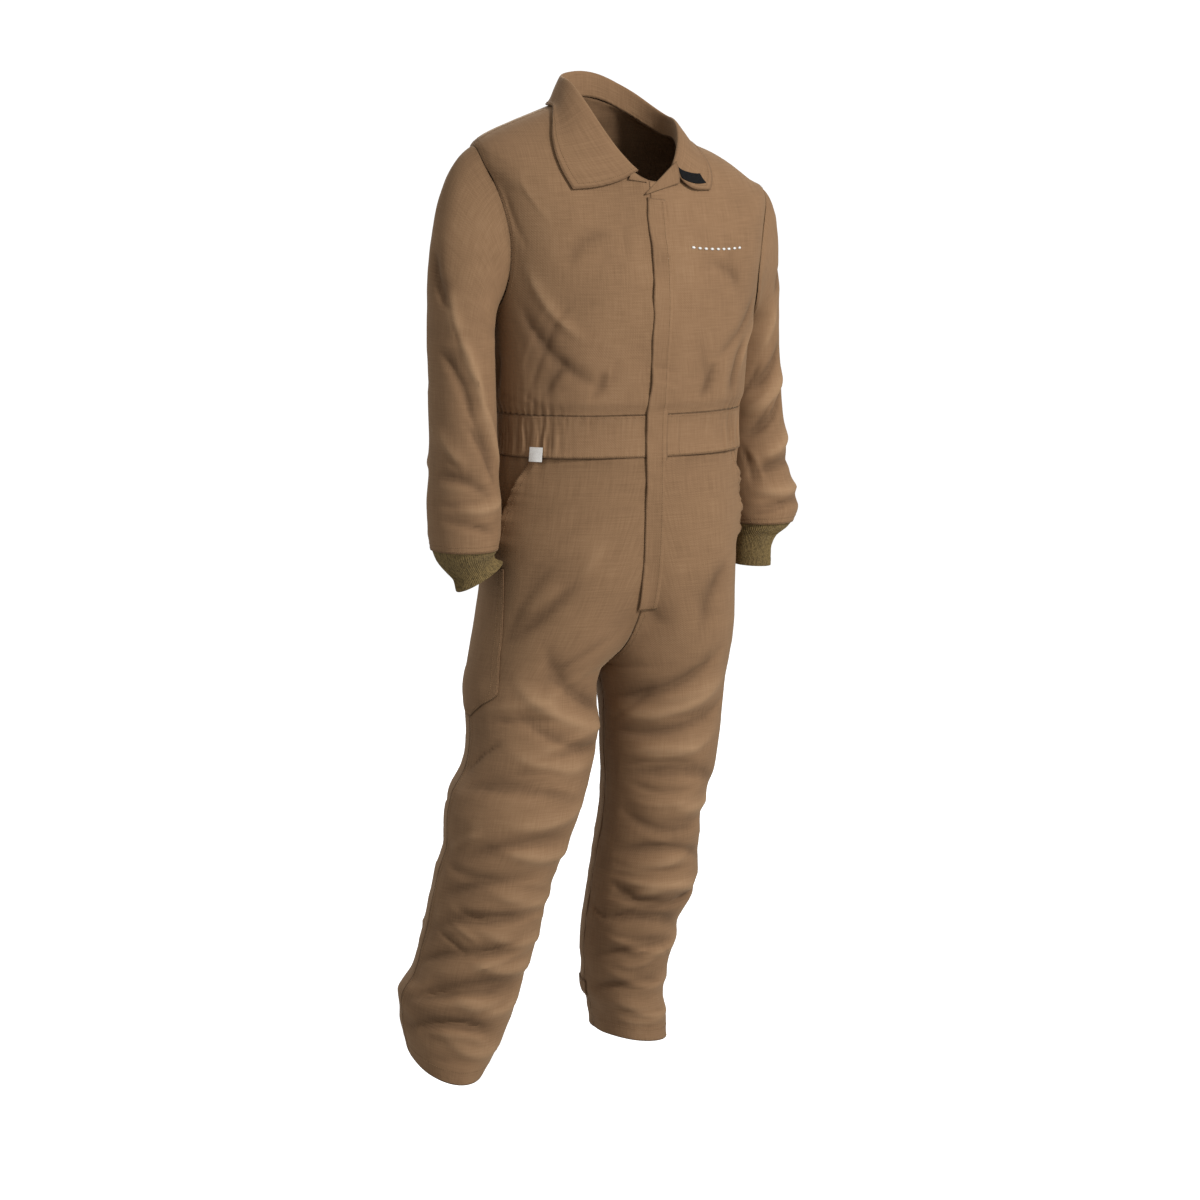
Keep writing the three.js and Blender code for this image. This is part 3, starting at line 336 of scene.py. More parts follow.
SLEEVE = {
    "right": table("height x y half depth", [
        [896, -266, -43, 51, 58], [925, -265, -41, 55, 61], [960, -264, -38, 56, 62],
        [1010, -263, -34, 52, 61], [1060, -262, -31, 51, 60], [1110, -262, -28, 51, 60],
        [1160, -262, -26, 50, 60], [1215, -262, -22, 50, 61],
    ]),
    "left": table("height x y half depth", [
        [904, 270, 42, 52, 58], [930, 273, 46, 60, 64], [960, 268, 51, 56, 62],
        [1010, 264, 57, 53, 61], [1060, 261, 60, 51, 60], [1110, 258, 62, 50, 60],
        [1160, 256, 61, 48, 60], [1215, 253, 57, 46, 60],
    ]),
}
# How firmly the shoulder part of a sleeve leaves the armhole, and how firmly it turns down.
CAP = {"right": (0.74, 1), "left": (0.5, 0.9)}
CUFF = {
    "right": table("drop x y half depth slope", [
        [0, 0, 0, 48, 55, 0], [9, 2, -1, 45, 50, 0.12], [20, 8, -2, 37, 40, 0.35],
        [31, 15, -4, 32, 33, 0.5], [42, 22, -7, 36, 31, 0.6],
    ]),
    "left": table("drop x y half depth slope", [
        [0, 0, 0, 49, 55, 0], [9, -4, -2, 44, 50, 0], [20, -12, -5, 34, 38, -0.05],
        [42, -17, -8, 29, 32, -0.05], [68, -18, -10, 29, 32, -0.05],
    ]),
}
COLLAR = {
    "right": table("angle stand edgeAngle edgeRing belly", [
        [12, 3, 32, 1482, 0], [22, 5, 40, 1494, 0], [32, 7, 47, 1504, 0], [46, 12, 55, 1514, 0],
        [68, 24, 69, 1527, 0], [90, 35, 86, 1535, 0], [120, 38, 117, 1534, 0],
        [150, 38, 149, 1532, 0], [180, 37, 180, 1531, 0],
    ]),
    "left": table("angle stand edgeAngle edgeRing belly", [
        [33, 7, 37.6, 1509, 9], [40, 10, 44, 1514, 6], [50, 15, 54, 1522, 2],
        [68, 23, 69, 1531, 0], [90, 29, 87, 1536, 0], [120, 33, 117, 1535, 0],
        [150, 36, 149, 1532, 0], [180, 37, 180, 1531, 0],
    ]),
}
POCKET_MOUTH = table("height angle", [
    [862, 179.6], [870, 177], [892, 170.5], [922, 166], [954, 162.5], [1000, 155], [1037, 148],
])
POCKET = {"foot": 862, "under": 5, "sink": 3.2, "gape": 6, "reach": 24}
THIGH_POCKET = table("height front back", [
    [632, 177, 185], [652, 160, 203], [673, 143.5, 219], [738, 153, 216], [800, 158, 212],
    [862, 161, 207],
])
print("rings of the trunk", len(TRUNK["side"]))

# %% [markdown]
# Folds. Each is a line laid on a surface, from one place to another, with a bow, a half width and
# a rise: a ridge where it is positive and a trough where it is negative. The first table of each
# surface holds the large folds that the solids have too. The second holds the smaller creases
# that only the cloth shows. A fold is drawn steeper on its lower side, because cloth sags.

# %% Large folds
FOLD = "fromAngle fromHeight toAngle toHeight bow width rise"
FOLDS = {
    "trunk": table(FOLD, [
        [-62, 1262, -22, 1150, 12, 20, -5], [-56, 1318, -30, 1230, 8, 16, 4],
        [-50, 1130, -38, 1190, 0, 15, -5], [-26, 1128, -20, 1175, 4, 12, -4],
        [22, 1125, 27, 1185, 4, 14, -5], [44, 1128, 52, 1215, -6, 16, -6],
        [60, 1300, 30, 1200, -10, 19, -4], [70, 1250, 48, 1160, 6, 16, 4],
        [-16, 1440, -34, 1350, 8, 16, -3], [20, 1400, 40, 1330, -6, 16, -3],
        [112, 1262, 150, 1150, 10, 22, -5], [-114, 1266, -152, 1160, -10, 20, -6],
        [126, 1330, 165, 1260, 12, 20, 4], [-128, 1340, -168, 1270, -10, 19, 4],
        [150, 1128, 158, 1200, 0, 15, -5], [-150, 1128, -160, 1205, 4, 15, -6],
        [178, 1130, 176, 1210, 5, 16, -4], [128, 1126, 122, 1185, -4, 14, -5],
        [-128, 1126, -120, 1190, 4, 14, -5], [86, 1126, 84, 1190, 3, 12, -4],
        [-86, 1126, -83, 1190, 3, 12, -4],
    ]),
    "leg_right": table(FOLD, [
        [150, 752, 112, 880, -14, 19, -6], [140, 800, 104, 900, -10, 16, 4],
        [22, 640, 118, 742, 18, 18, -7], [20, 612, 128, 690, 20, 18, 6],
        [24, 585, 120, 640, 16, 16, -6], [40, 560, 130, 590, 12, 16, 4],
        [60, 515, 165, 535, -14, 19, -6], [30, 500, 110, 480, 10, 16, 5],
        [50, 455, 150, 430, -14, 18, -6], [20, 432, 120, 452, 14, 16, 5],
        [70, 396, 160, 372, -12, 18, -6], [24, 360, 112, 382, 12, 16, 5],
        [60, 330, 168, 318, -16, 18, -7], [20, 300, 110, 318, 14, 16, 5],
        [70, 282, 176, 262, -14, 18, -7], [22, 258, 112, 272, 12, 16, 6],
        [54, 232, 170, 205, -18, 19, -8], [30, 212, 120, 228, 16, 16, 6],
        [66, 178, 168, 160, -20, 16, -7], [36, 158, 120, 172, 14, 15, 5],
        [210, 700, 300, 800, -14, 20, -6], [338, 690, 262, 742, -16, 20, -7],
        [336, 650, 244, 690, -14, 19, 5], [330, 560, 226, 590, -16, 20, -7],
        [326, 480, 220, 500, 14, 19, -7], [330, 440, 236, 452, -12, 18, 6],
        [322, 380, 214, 372, 14, 19, -6], [326, 300, 222, 318, -14, 19, -7],
        [318, 222, 216, 214, 16, 19, -8], [322, 176, 224, 186, -10, 16, 6],
    ]),
    "leg_left": table(FOLD, [
        [22, 652, 120, 720, 16, 18, -7], [20, 622, 134, 676, 18, 18, 6],
        [26, 596, 140, 640, 14, 16, -6], [60, 860, 76, 770, 6, 18, -4],
        [132, 860, 104, 760, 10, 19, -5], [40, 560, 128, 590, 12, 16, 4],
        [40, 530, 150, 505, -16, 19, -7], [90, 478, 172, 492, 12, 16, 5],
        [30, 470, 130, 446, 14, 16, -5], [40, 408, 150, 384, -16, 18, -7],
        [26, 384, 116, 402, 12, 16, 5], [34, 352, 100, 322, 10, 16, -8],
        [100, 322, 168, 350, 10, 16, -8], [50, 330, 150, 326, -16, 15, 6],
        [30, 296, 140, 272, -14, 18, -7], [44, 262, 160, 252, 16, 16, 6],
        [28, 232, 142, 246, -12, 16, -7], [40, 206, 150, 192, 14, 16, 6],
        [24, 172, 130, 184, -12, 16, -7], [60, 146, 156, 140, 10, 15, 5],
        [214, 712, 300, 800, -14, 20, -6], [336, 690, 256, 744, -16, 20, -7],
        [334, 640, 240, 676, -14, 19, 5], [330, 540, 224, 566, -14, 19, -7],
        [326, 470, 218, 492, 14, 19, -7], [328, 420, 232, 430, -12, 18, 6],
        [320, 352, 214, 362, 14, 19, -7], [324, 288, 222, 300, -14, 19, -7],
        [318, 214, 214, 222, 16, 19, -8],
    ]),
    "sleeve_right": table(FOLD, [
        [88, 1440, 112, 1340, 6, 14, -6], [108, 1350, 142, 1290, 6, 12, -5],
        [8, 1345, 48, 1262, 8, 16, -8], [42, 1290, 62, 1225, 0, 15, 6],
        [60, 1230, 104, 1112, -6, 15, 6], [100, 1118, 150, 1020, 4, 15, 6],
        [30, 1200, 84, 1100, -8, 16, -6], [74, 1090, 128, 1000, -4, 15, -6],
        [10, 1085, 70, 1030, 6, 15, 4], [20, 1010, 110, 985, -8, 15, -6],
        [60, 962, 150, 975, 8, 14, 5], [30, 942, 120, 925, -6, 12, -5],
        [200, 1320, 300, 1260, 14, 19, -7], [330, 1230, 230, 1140, -10, 18, -6],
        [310, 1100, 210, 1040, 12, 18, -6], [340, 1040, 250, 990, -8, 16, 5],
        [320, 962, 220, 944, 10, 15, -6],
    ]),
    "sleeve_left": table(FOLD, [
        [70, 1450, 104, 1352, 6, 14, -5], [10, 1350, 60, 1270, 8, 16, -7],
        [60, 1250, 100, 1180, 4, 15, 5], [40, 1190, 120, 1120, 8, 16, -8],
        [30, 1148, 120, 1080, 6, 15, 7], [40, 1110, 130, 1044, 8, 15, -8],
        [20, 1050, 110, 1010, 6, 15, 6], [10, 1000, 120, 985, -8, 15, -7],
        [0, 965, 120, 958, 8, 14, 7], [20, 938, 120, 932, -6, 12, -6],
        [200, 1320, 300, 1260, 14, 19, -7], [330, 1230, 230, 1140, -10, 18, -6],
        [310, 1100, 210, 1040, 12, 18, -7], [340, 1040, 250, 990, -8, 16, 5],
        [320, 970, 220, 950, 10, 15, -7],
    ]),
}
GATHERS = 34  # degrees from the centre front to where the waist's elastic begins
print("large folds", sum(len(rows["rise"]) for rows in FOLDS.values()))

# %% Small creases
CREASES = {
    "trunk": table(FOLD, [
        [-34, 1288, -58, 1132, 6, 10, -2.6], [-42, 1288, -64, 1166, 5, 9, 1.2],
        [-80, 1128, -64, 1120, 0, 5, -1.6], [-71, 1116, -58, 1108, 0, 5, 1.4],
        [-62, 1134, -52, 1114, 0, 5, -1.6], [-14, 1200, -16, 1148, 1, 5, -1.2],
        [-20, 1176, -21, 1136, 0, 5, -1.0], [-26, 1154, -28, 1114, 0, 5, 1.0],
        [-41, 1140, -40, 1110, 0, 4, 1.0], [-9, 1498, -10, 1390, 2, 7, -1.1],
        [-2, 1190, 8, 1176, 0, 5, -1.4], [-2, 1162, 10, 1142, 0, 5, 1.4],
        [17, 1254, 28, 1120, 3, 10, -1.6], [36, 1208, 37, 1114, 2, 8, 1.4],
        [-64, 1428, -54, 1352, 6, 12, -1.6], [-54, 1472, -42, 1418, 5, 12, 1.2],
        [29, 1482, 39, 1302, 6, 12, -1.6],
        [110, 1120, 128, 1150, 2, 7, -2.2], [140, 1112, 150, 1180, 3, 8, 2.0],
        [168, 1116, 160, 1190, 2, 8, -2.2], [-100, 1116, -118, 1158, 2, 7, -2.2],
        [-142, 1112, -150, 1186, 3, 8, 2.0], [-172, 1114, -164, 1200, 2, 8, -2.2],
        [108, 1460, 140, 1372, 6, 12, -1.8], [-108, 1458, -142, 1366, 6, 12, -1.8],
    ]),
    "leg_right": table(FOLD, [
        [152, 754, 125, 882, 6, 14, -3.0], [146, 818, 114, 942, 8, 16, -1.4],
        [112, 638, 55, 712, 8, 12, 2.2], [106, 682, 72, 754, 6, 12, -2.4],
        [153, 628, 88, 634, 6, 9, -4.2], [156, 644, 90, 658, 6, 9, 2.6],
        [172, 556, 138, 602, 3, 7, -3.4], [105, 588, 23, 612, 6, 10, 3.4],
        [110, 574, 30, 586, 6, 9, -3.0], [124, 560, 77, 552, 5, 8, -3.6],
        [115, 538, 54, 524, 5, 9, 2.2], [169, 440, 134, 468, 3, 8, 3.0],
        [169, 418, 108, 402, -4, 12, -3.6], [145, 358, 98, 330, -4, 11, -3.0],
        [112, 448, 52, 442, 4, 9, -2.0], [108, 402, 26, 366, 4, 9, 1.8],
        [160, 316, 122, 284, 3, 6, -3.8], [150, 334, 113, 302, 3, 6, 2.4],
        [116, 254, 52, 280, 6, 8, 3.4], [116, 272, 64, 302, 6, 8, -3.0],
        [162, 220, 62, 224, 6, 9, -3.6], [150, 208, 68, 210, 6, 8, 2.2],
        [98, 200, 52, 210, 3, 6, -3.2], [138, 170, 71, 164, 10, 8, 3.4],
        [140, 182, 72, 176, 10, 7, -3.8], [136, 138, 72, 140, 4, 8, -1.8],
        [100, 362, 26, 352, 3, 8, -2.2], [84, 328, 26, 326, 3, 7, 1.8],
        [196, 700, 250, 742, 8, 14, -2.6], [200, 604, 262, 640, 8, 12, -3.0],
        [205, 560, 258, 548, 5, 9, 2.6], [190, 506, 250, 520, 5, 9, -3.2],
        [230, 446, 300, 420, 6, 9, -3.0], [200, 402, 262, 410, 5, 8, 2.6],
        [230, 346, 300, 352, 6, 9, -3.2], [196, 318, 246, 296, 4, 8, 2.4],
        [222, 262, 296, 250, 6, 8, -3.4], [200, 196, 270, 204, 5, 8, 2.6],
        [300, 640, 342, 600, 5, 10, -2.6], [296, 520, 340, 540, 5, 10, -2.4],
    ]),
    "leg_left": table(FOLD, [
        [40, 564, 104, 566, -8, 9, 3.0], [36, 546, 104, 544, -8, 9, -3.4],
        [38, 516, 102, 506, 6, 8, -3.6], [39, 488, 103, 486, 4, 8, 2.4],
        [14, 610, 56, 666, 5, 10, -2.4], [60, 650, 122, 674, 5, 12, 2.0],
        [66, 624, 120, 634, 5, 10, -2.4], [16, 388, 122, 376, 4, 8, -3.4],
        [19, 364, 138, 348, 4, 8, 3.0], [32, 334, 79, 326, 3, 7, -3.2],
        [78, 320, 148, 320, 3, 8, -2.4], [8, 310, 32, 294, 2, 5, -3.0],
        [36, 294, 64, 314, 2, 6, -2.6], [34, 272, 110, 262, 4, 7, -3.2],
        [53, 220, 102, 230, 6, 6, 3.0], [51, 240, 104, 246, 6, 6, -3.2],
        [107, 250, 147, 218, 3, 8, -2.4], [40, 180, 123, 188, 4, 8, -2.4],
        [48, 120, 133, 126, 3, 6, 2.8], [52, 140, 143, 140, 3, 6, -3.2],
        [74, 460, 150, 456, 4, 9, -2.2], [54, 436, 150, 406, 4, 9, 1.6],
        [196, 690, 250, 736, 8, 14, -2.6], [200, 600, 262, 634, 8, 12, -3.0],
        [196, 548, 258, 540, 5, 9, 2.6], [190, 500, 250, 512, 5, 9, -3.2],
        [228, 440, 300, 424, 6, 9, -3.0], [200, 392, 262, 402, 5, 8, 2.6],
        [230, 336, 300, 346, 6, 9, -3.2], [196, 306, 246, 286, 4, 8, 2.4],
        [222, 250, 296, 240, 6, 8, -3.4], [200, 176, 270, 186, 5, 8, 2.6],
        [300, 620, 342, 590, 5, 10, -2.6], [296, 506, 340, 524, 5, 10, -2.4],
    ]),
    "sleeve_right": table(FOLD, [
        [46, 1276, 85, 1169, 5, 8, -3.0], [62, 1220, 103, 1139, 4, 7, 2.6],
        [95, 1139, 140, 1054, 3, 8, 2.4], [74, 1126, 122, 1033, 4, 8, -2.6],
        [6, 1094, 58, 1022, 4, 9, -2.2], [28, 992, 128, 1011, 5, 8, 2.2],
        [20, 969, 114, 981, 5, 8, -2.6], [15, 939, 134, 949, 4, 7, 1.6],
        [200, 1240, 262, 1170, 5, 9, -3.0], [320, 1210, 262, 1120, 5, 9, 2.4],
        [210, 1120, 290, 1064, 5, 9, -2.8], [330, 1040, 250, 1012, 5, 8, -2.6],
        [220, 980, 310, 962, 5, 8, 2.4], [340, 1150, 310, 1090, 3, 8, -2.2],
    ]),
    "sleeve_left": table(FOLD, [
        [98, 1162, 143, 1102, 4, 8, -3.2], [74, 1125, 137, 1079, 4, 7, 2.8],
        [69, 1110, 118, 1052, 3, 7, -3.4], [122, 1023, 104, 973, 3, 7, 3.0],
        [136, 1029, 121, 966, 2, 6, -3.0], [54, 952, 136, 937, 4, 7, 3.0],
        [69, 937, 134, 921, 4, 6, -2.6],
        [200, 1240, 262, 1170, 5, 9, -3.0], [320, 1210, 262, 1120, 5, 9, 2.4],
        [210, 1120, 290, 1064, 5, 9, -2.8], [330, 1040, 250, 1012, 5, 8, -2.6],
        [220, 980, 310, 962, 5, 8, 2.4], [20, 1180, 60, 1090, 4, 9, -2.2],
    ]),
}
print("small creases", sum(len(rows["rise"]) for rows in CREASES.values()))

# %% Fold height
FOLD_SHAPE = {"narrow": 0.8, "below": 0.72, "above": 1.12, "upright": 0.92, "ridge": 0.25, "trough": 0.45}


def fold_height(folds, angle, height, per_degree):
    """The height that a table of folds adds at places on a surface."""
    total = np.zeros(np.broadcast(angle, height).shape)
    for k in range(len(folds["rise"])):
        a0, h0, a1, h1, bow, width, rise = (folds[c][k] for c in FOLD.split())
        dx, dz = (a1 - a0) * per_degree, h1 - h0
        long = np.hypot(dx, dz)
        x, z = (angle - a0) * per_degree, height - h0
        t = (x * dx + z * dz) / long**2
        off = (x * dz - z * dx) / long - bow * 4 * t * (1 - t)
        along = ease(t, -0.15, 0.3) * (1 - ease(t, 0.7, 1.15))
        below = off * (1 if dx > 0 else -1) > 0
        sagging = np.where(below, FOLD_SHAPE["below"], FOLD_SHAPE["above"])
        side = sagging if abs(dx) > abs(dz) / 2 else FOLD_SHAPE["upright"]
        s = off / (width * FOLD_SHAPE["narrow"] * side)
        soft, sharp = np.exp(-s * s), (1 + (1.9 * s) ** 2) ** -1.5
        share = FOLD_SHAPE["trough" if rise < 0 else "ridge"]
        total += rise * along * (soft + share * (sharp - soft))
    return total


# %% [markdown]
# Wrinkles. Between the folds that have a name, worn twill is never quite smooth. A lattice of
# random heights, blended smoothly and folded at zero, gives short crests of uneven length. It is
# seeded, so that every run gives the same cloth.

# %% Wrinkles
LATTICE = 64  # random heights to a side, before the lattice repeats
SEEDS = {"leg": {"left": 20, "right": 30}, "sleeve": {"left": 40, "right": 50}}


def lattice(u, v, seed):
    """Smooth random heights between -1 and 1 over a grid with cells of one unit."""
    grid = np.random.RandomState(seed).uniform(-1, 1, (LATTICE, LATTICE))
    i, j = np.floor(u).astype(int), np.floor(v).astype(int)
    s, t = u - i, v - j
    s, t = s * s * (3 - 2 * s), t * t * (3 - 2 * t)
    at = lambda di, dj: grid[(i + di) % LATTICE, (j + dj) % LATTICE]
    low = at(0, 0) * (1 - s) + at(1, 0) * s
    high = at(0, 1) * (1 - s) + at(1, 1) * s
    return low * (1 - t) + high * t


def wrinkles(u, v, long, short, lean, seed):
    """Crests long by short mm apart, leaning by some mm sideways for each mm up."""
    across, up = (u + lean * v) / long, v / short
    first = 1 - 2 * np.abs(lattice(across, up, seed))
    second = lattice(across * 2.1 + 7, up * 2.1 + 3, seed + 1)
    return 0.7 * first + 0.3 * second


# %% The three surfaces
def vec(x, y, z):
    return np.stack(np.broadcast_arrays(x, y, z), axis=-1).astype(float)


def unit(v):
    return v / np.maximum(np.linalg.norm(v, axis=-1, keepdims=True), 1e-12)


def normals(surface, a, b, step_a, step_b):
    along = surface(a + step_a, b) - surface(a - step_a, b)
    up = surface(a, b + step_b) - surface(a, b - step_b)
    return unit(np.cross(along, up))


def power(x, square):
    return np.sign(x) * np.abs(x) ** (2 / square)


def wrapped(angle):
    return (angle + 540) % 360 - 180


def trunk_base(angle, ring):
    """angle is 0 at the centre front, 90 at the wearer's left and 180 at the back."""
    r = lambda column: read(TRUNK, column, ring)
    s, c = np.sin(np.radians(angle)), np.cos(np.radians(angle))
    square = r("square")
    x = r("half") * power(s, square)
    y = -np.where(c > 0, r("chest"), r("spine")) * power(c, square)
    z = r("side") + (np.where(c > 0, r("front"), r("back")) - r("side")) * c * c - r("drop") * x
    return vec(r("x") + x, r("y") + y, z)


def trunk_out(angle, ring):
    return normals(trunk_base, angle, ring, 0.5, 1)


def open_at(height):
    return np.where(height > CROTCH, read(SEAT, "open", height), 0)


def leg_base(side, angle, height):
    """angle is 0 at the inner side, 90 in front, 180 outside and 270 behind."""
    s, rows = SIGN[side], LEG[side]
    r = lambda column: read(rows, column, height)
    above = height > CROTCH
    opened = np.radians(open_at(height))
    middle = np.where(above, read(SEAT, "middle", height), r("inner"))
    half = np.abs(r("outer") - middle) / (1 + np.cos(opened))
    centre = middle + s * half * np.cos(opened)
    sine, c = np.sin(np.radians(angle)), np.cos(np.radians(angle))
    reach = np.abs(sine)
    t = np.clip(c / np.maximum(np.cos(opened), 1e-4), 0, 1)
    bridge = 1 - ((1 - np.sin(opened)) * (1 - np.cos(np.pi * t))) / 2
    bridged = reach + (bridge - reach) * ease(height, CROTCH + 8, FLY_END)
    reach = np.where(above & (c > 0) & (np.cos(opened) > 1e-4), bridged, reach)
    x = centre - s * half * c
    y = r("y") - np.sign(sine) * np.where(sine > 0, r("front"), r("back")) * reach
    low = rows["height"][0]
    tilt = 1 - ease(height, low, low + HEM_REACH)
    slope_x, slope_y = HEM_SLOPE[side]
    z = height + tilt * (slope_x * (x - centre) + slope_y * (y - r("y")))
    return vec(x + s * np.where(height > CROTCH - 40, SEAM * 0.7, 0), y, z)


def armhole(side, angle):
    sine = np.sin(np.radians(angle))
    cut = np.where(sine > 0, -ARMHOLE["front"] * sine, -ARMHOLE["back"] * sine)
    return trunk(SIGN[side] * (90 + cut), ARM_MIDDLE + ARM_HALF * np.cos(np.radians(angle)))


ROOM = {"armhole": 0.5, "underarm": 2.2, "arm": 8}  # mm between a sleeve and the body


def sleeve_base(side, angle, place):
    """place is 0 at the armhole, 1 at SLEEVE_TOP and 2 at the hem; angle is 0 at the outer side."""
    s, rows = SIGN[side], SLEEVE[side]
    hem = rows["height"][0]

    def ring(height):
        r = lambda column: read(rows, column, height)
        x = r("x") + s * r("half") * np.cos(np.radians(angle))
        return vec(x, r("y") - r("depth") * np.sin(np.radians(angle)), height)

    lower = ring(SLEEVE_TOP + (hem - SLEEVE_TOP) * (np.maximum(place, 1) - 1))
    low = (1 - np.cos(np.radians(angle))) / 2
    clear = ROOM["armhole"] + ROOM["underarm"] * low**1.5
    first = armhole(side, angle) + vec(s * clear, 0, 0)
    last = ring(SLEEVE_TOP + 0 * angle)
    long = np.linalg.norm(last - first, axis=-1, keepdims=True)
    push, fall = CAP[side]
    leave = unit(vec(s * (1 - 0.6 * low), 0, -(0.5 + 0.5 * low))) * long * push
    arrive = vec(0, 0, -1) * long * fall
    t = np.clip(place, 0, 1)[..., None]
    u = 1 - t
    starting = first * (1 + 2 * t) * u * u + leave * t * u * u
    ending = last * t * t * (3 - 2 * t) - arrive * t * t * u
    room = clear + (ROOM["arm"] - clear) * ease(place, 0, 0.16)
    upper = beside_trunk(starting + ending, s, room)
    return np.where((place >= 1)[..., None], lower, upper)


def beside_trunk(point, s, room):
    """Under the arm the sleeve is pressed flat by the body, never nearer to the trunk than room."""
    x, y, z = point[..., 0], point[..., 1], point[..., 2]
    ring = z + 0.05 * x
    r = lambda column: read(TRUNK, column, ring)
    deep = np.abs(y - r("y")) / np.where(y < r("y"), r("chest"), r("spine"))
    inside = deep < 1
    square = r("square")
    reach = r("half") * (1 - np.where(inside, deep, 0) ** square) ** (1 / square) + room
    pushed = s * np.maximum(s * x, s * r("x") + reach)
    return vec(np.where(inside, pushed, x), y, z)


def cuff_base(side, angle, down):
    """down is in mm below the sleeve's hem; angle is the sleeve's."""
    s, rows = SIGN[side], SLEEVE[side]
    r = lambda column: read(CUFF[side], column, down)
    dx = s * r("half") * np.cos(np.radians(angle))
    y = rows["y"][0] + r("y") - r("depth") * np.sin(np.radians(angle))
    z = rows["height"][0] - SEAM - 0.2 - down + r("slope") * dx
    return vec(rows["x"][0] + r("x") + dx, y, z)


# %% [markdown]
# Each surface gives three things at a place: the point, the way out of the cloth, and how high
# the cloth stands there. A piece adds its own lift to that height, so a pocket on a leg rises
# and falls with the leg's folds.

# %% Cloth on the surfaces
def folded(surface, kind, angle, height):
    """What all the folds and creases of a surface add."""
    return sum(fold_height(rows[surface], angle, height, FOLD_SCALE[kind]) for rows in (FOLDS, CREASES))


def calm(ring):
    """Folds die down on the shoulders, where the cloth hangs from."""
    return 1 - 0.7 * ease(ring, 1440, 1500)


def trunk_relief(angle, ring):
    turn = wrapped(angle)
    span = turn * 3.2
    loose = wrinkles(span, ring, 60, 130, 0.3, 3) * (1 - ease(ring, 1420, 1520))
    side = ease(np.abs(turn), GATHERS, GATHERS + 14) * (1 - ease(np.abs(turn), 160, 172))
    u = np.abs(span)
    flutes = np.sin(2 * np.pi * u / 15 + 2.2 * lattice(u / 30, ring / 60, 9))
    near = np.exp(-np.maximum(ring - WAIST_TOP, 0) / 26)
    folds = calm(ring) * folded("trunk", "trunk", turn, ring)
    return folds + 0.8 * loose + 1.7 * side * near * flutes


def trunk_cloth(angle, ring):
    return trunk_base(angle, ring), trunk_out(angle, ring), trunk_relief(angle, ring)


def trunk(angle, ring):
    """The trunk with only the folds of the solids, which the sleeves are set to."""
    height = calm(ring) * fold_height(FOLDS["trunk"], wrapped(angle), ring, FOLD_SCALE["trunk"])
    return trunk_base(angle, ring) + trunk_out(angle, ring) * height[..., None]


def leg_relief(side, angle, height):
    turn = angle % 360
    opened = open_at(height)
    to_seam = np.minimum(np.abs(turn - opened), np.abs(360 - opened - turn))
    fade = np.where(height > CROTCH, ease(to_seam, 0, 14), 1) * (1 - ease(height, 1000, WAIST_LOW))
    seed = SEEDS["leg"][side]
    span = turn * FOLD_SCALE["leg"]
    hang = wrinkles(span, height, 95, 34, 0.25 * np.sin(np.radians(turn * 2)), seed)
    loose = 0.5 + 1.0 * (1 - ease(height, 300, 640))
    waist = np.abs(turn - opened) * FOLD_SCALE["leg"]
    side_on = ease(turn, 128, 150) * (1 - ease(turn, 240, 262))
    flutes = np.sin(2 * np.pi * waist / 14 + 2 * lattice(waist / 28, height / 60, seed + 5))
    near = np.exp(-np.maximum(WAIST_LOW - height, 0) / 24)
    folds = folded(f"leg_{side}", "leg", turn, height)
    return fade * (folds + loose * hang) + 1.4 * side_on * near * flutes


def leg_cloth(side):
    base = lambda a, h: leg_base(side, a, h)
    return lambda a, h: (base(a, h), normals(base, a, h, 0.5, 1) * SIGN[side], leg_relief(side, a, h))


def sleeve_cloth(side):
    base = lambda a, p: sleeve_base(side, a, p)

    def cloth_at(angle, place):
        point = base(angle, place)
        out = normals(base, angle, place, 0.5, 0.004) * SIGN[side]
        turn = angle % 360
        fade = ease(place, 0, 0.2) * (1 - ease(place, 1.93, 2))
        height = point[..., 2]
        hang = wrinkles(turn * FOLD_SCALE["sleeve"], height, 70, 36, 0.6, SEEDS["sleeve"][side])
        return point, out, fade * (folded(f"sleeve_{side}", "sleeve", turn, height) + 0.9 * hang)

    return cloth_at


RIBS = 88  # ribs round a cuff


def cuff_cloth(side):
    base = lambda a, d: cuff_base(side, a, d)

    def knit_at(angle, down):
        out = normals(base, angle, down, 0.5, 0.4) * SIGN[side]
        rib = np.cos(np.radians(angle) * RIBS)
        crush = wrinkles(angle * 0.8, down, 30, 9, 0.2, 61)
        return base(angle, down), out, 0.45 * rib + 0.5 * crush * ease(down, 0, 12)

    return knit_at


print("surfaces ready")

# %% [markdown]
# The cloth maker. On a real suit each panel is cut flat and sewn. Here each panel starts as a flat
# grid, cut as fine as its size needs, and every point of the grid moves to its place on a
# surface. A Solidify modifier then gives the sheet its thickness, inwards, and a small Bevel rounds
# the cut edges. The grid's own map keeps the weave running with the cloth. Two values are kept at
# each point for the material: how far the nearest seam is, and how much a fold stands out.

# %% Cloth maker
CELL = 4.6  # mm of cloth to a face
EDGE = 0.0004  # rounding of a cut edge, in metres


def evenly(low, high, size):
    return np.linspace(low, high, max(2, int(abs(high - low) / size) + 1))


def grid_mesh(name, columns, rows):
    bm = bmesh.new()
    bmesh.ops.create_grid(bm, x_segments=columns, y_segments=rows, size=0.5)
    mesh = bpy.data.meshes.new(name)
    bm.to_mesh(mesh)
    bm.free()
    flat = np.empty(len(mesh.vertices) * 3)
    mesh.vertices.foreach_get("co", flat)
    return mesh, flat[0::3] + 0.5, flat[1::3] + 0.5


def keep(mesh, name, values):
    mesh.attributes.new(name, "FLOAT", "POINT").data.foreach_set("value", values.astype(np.float32))


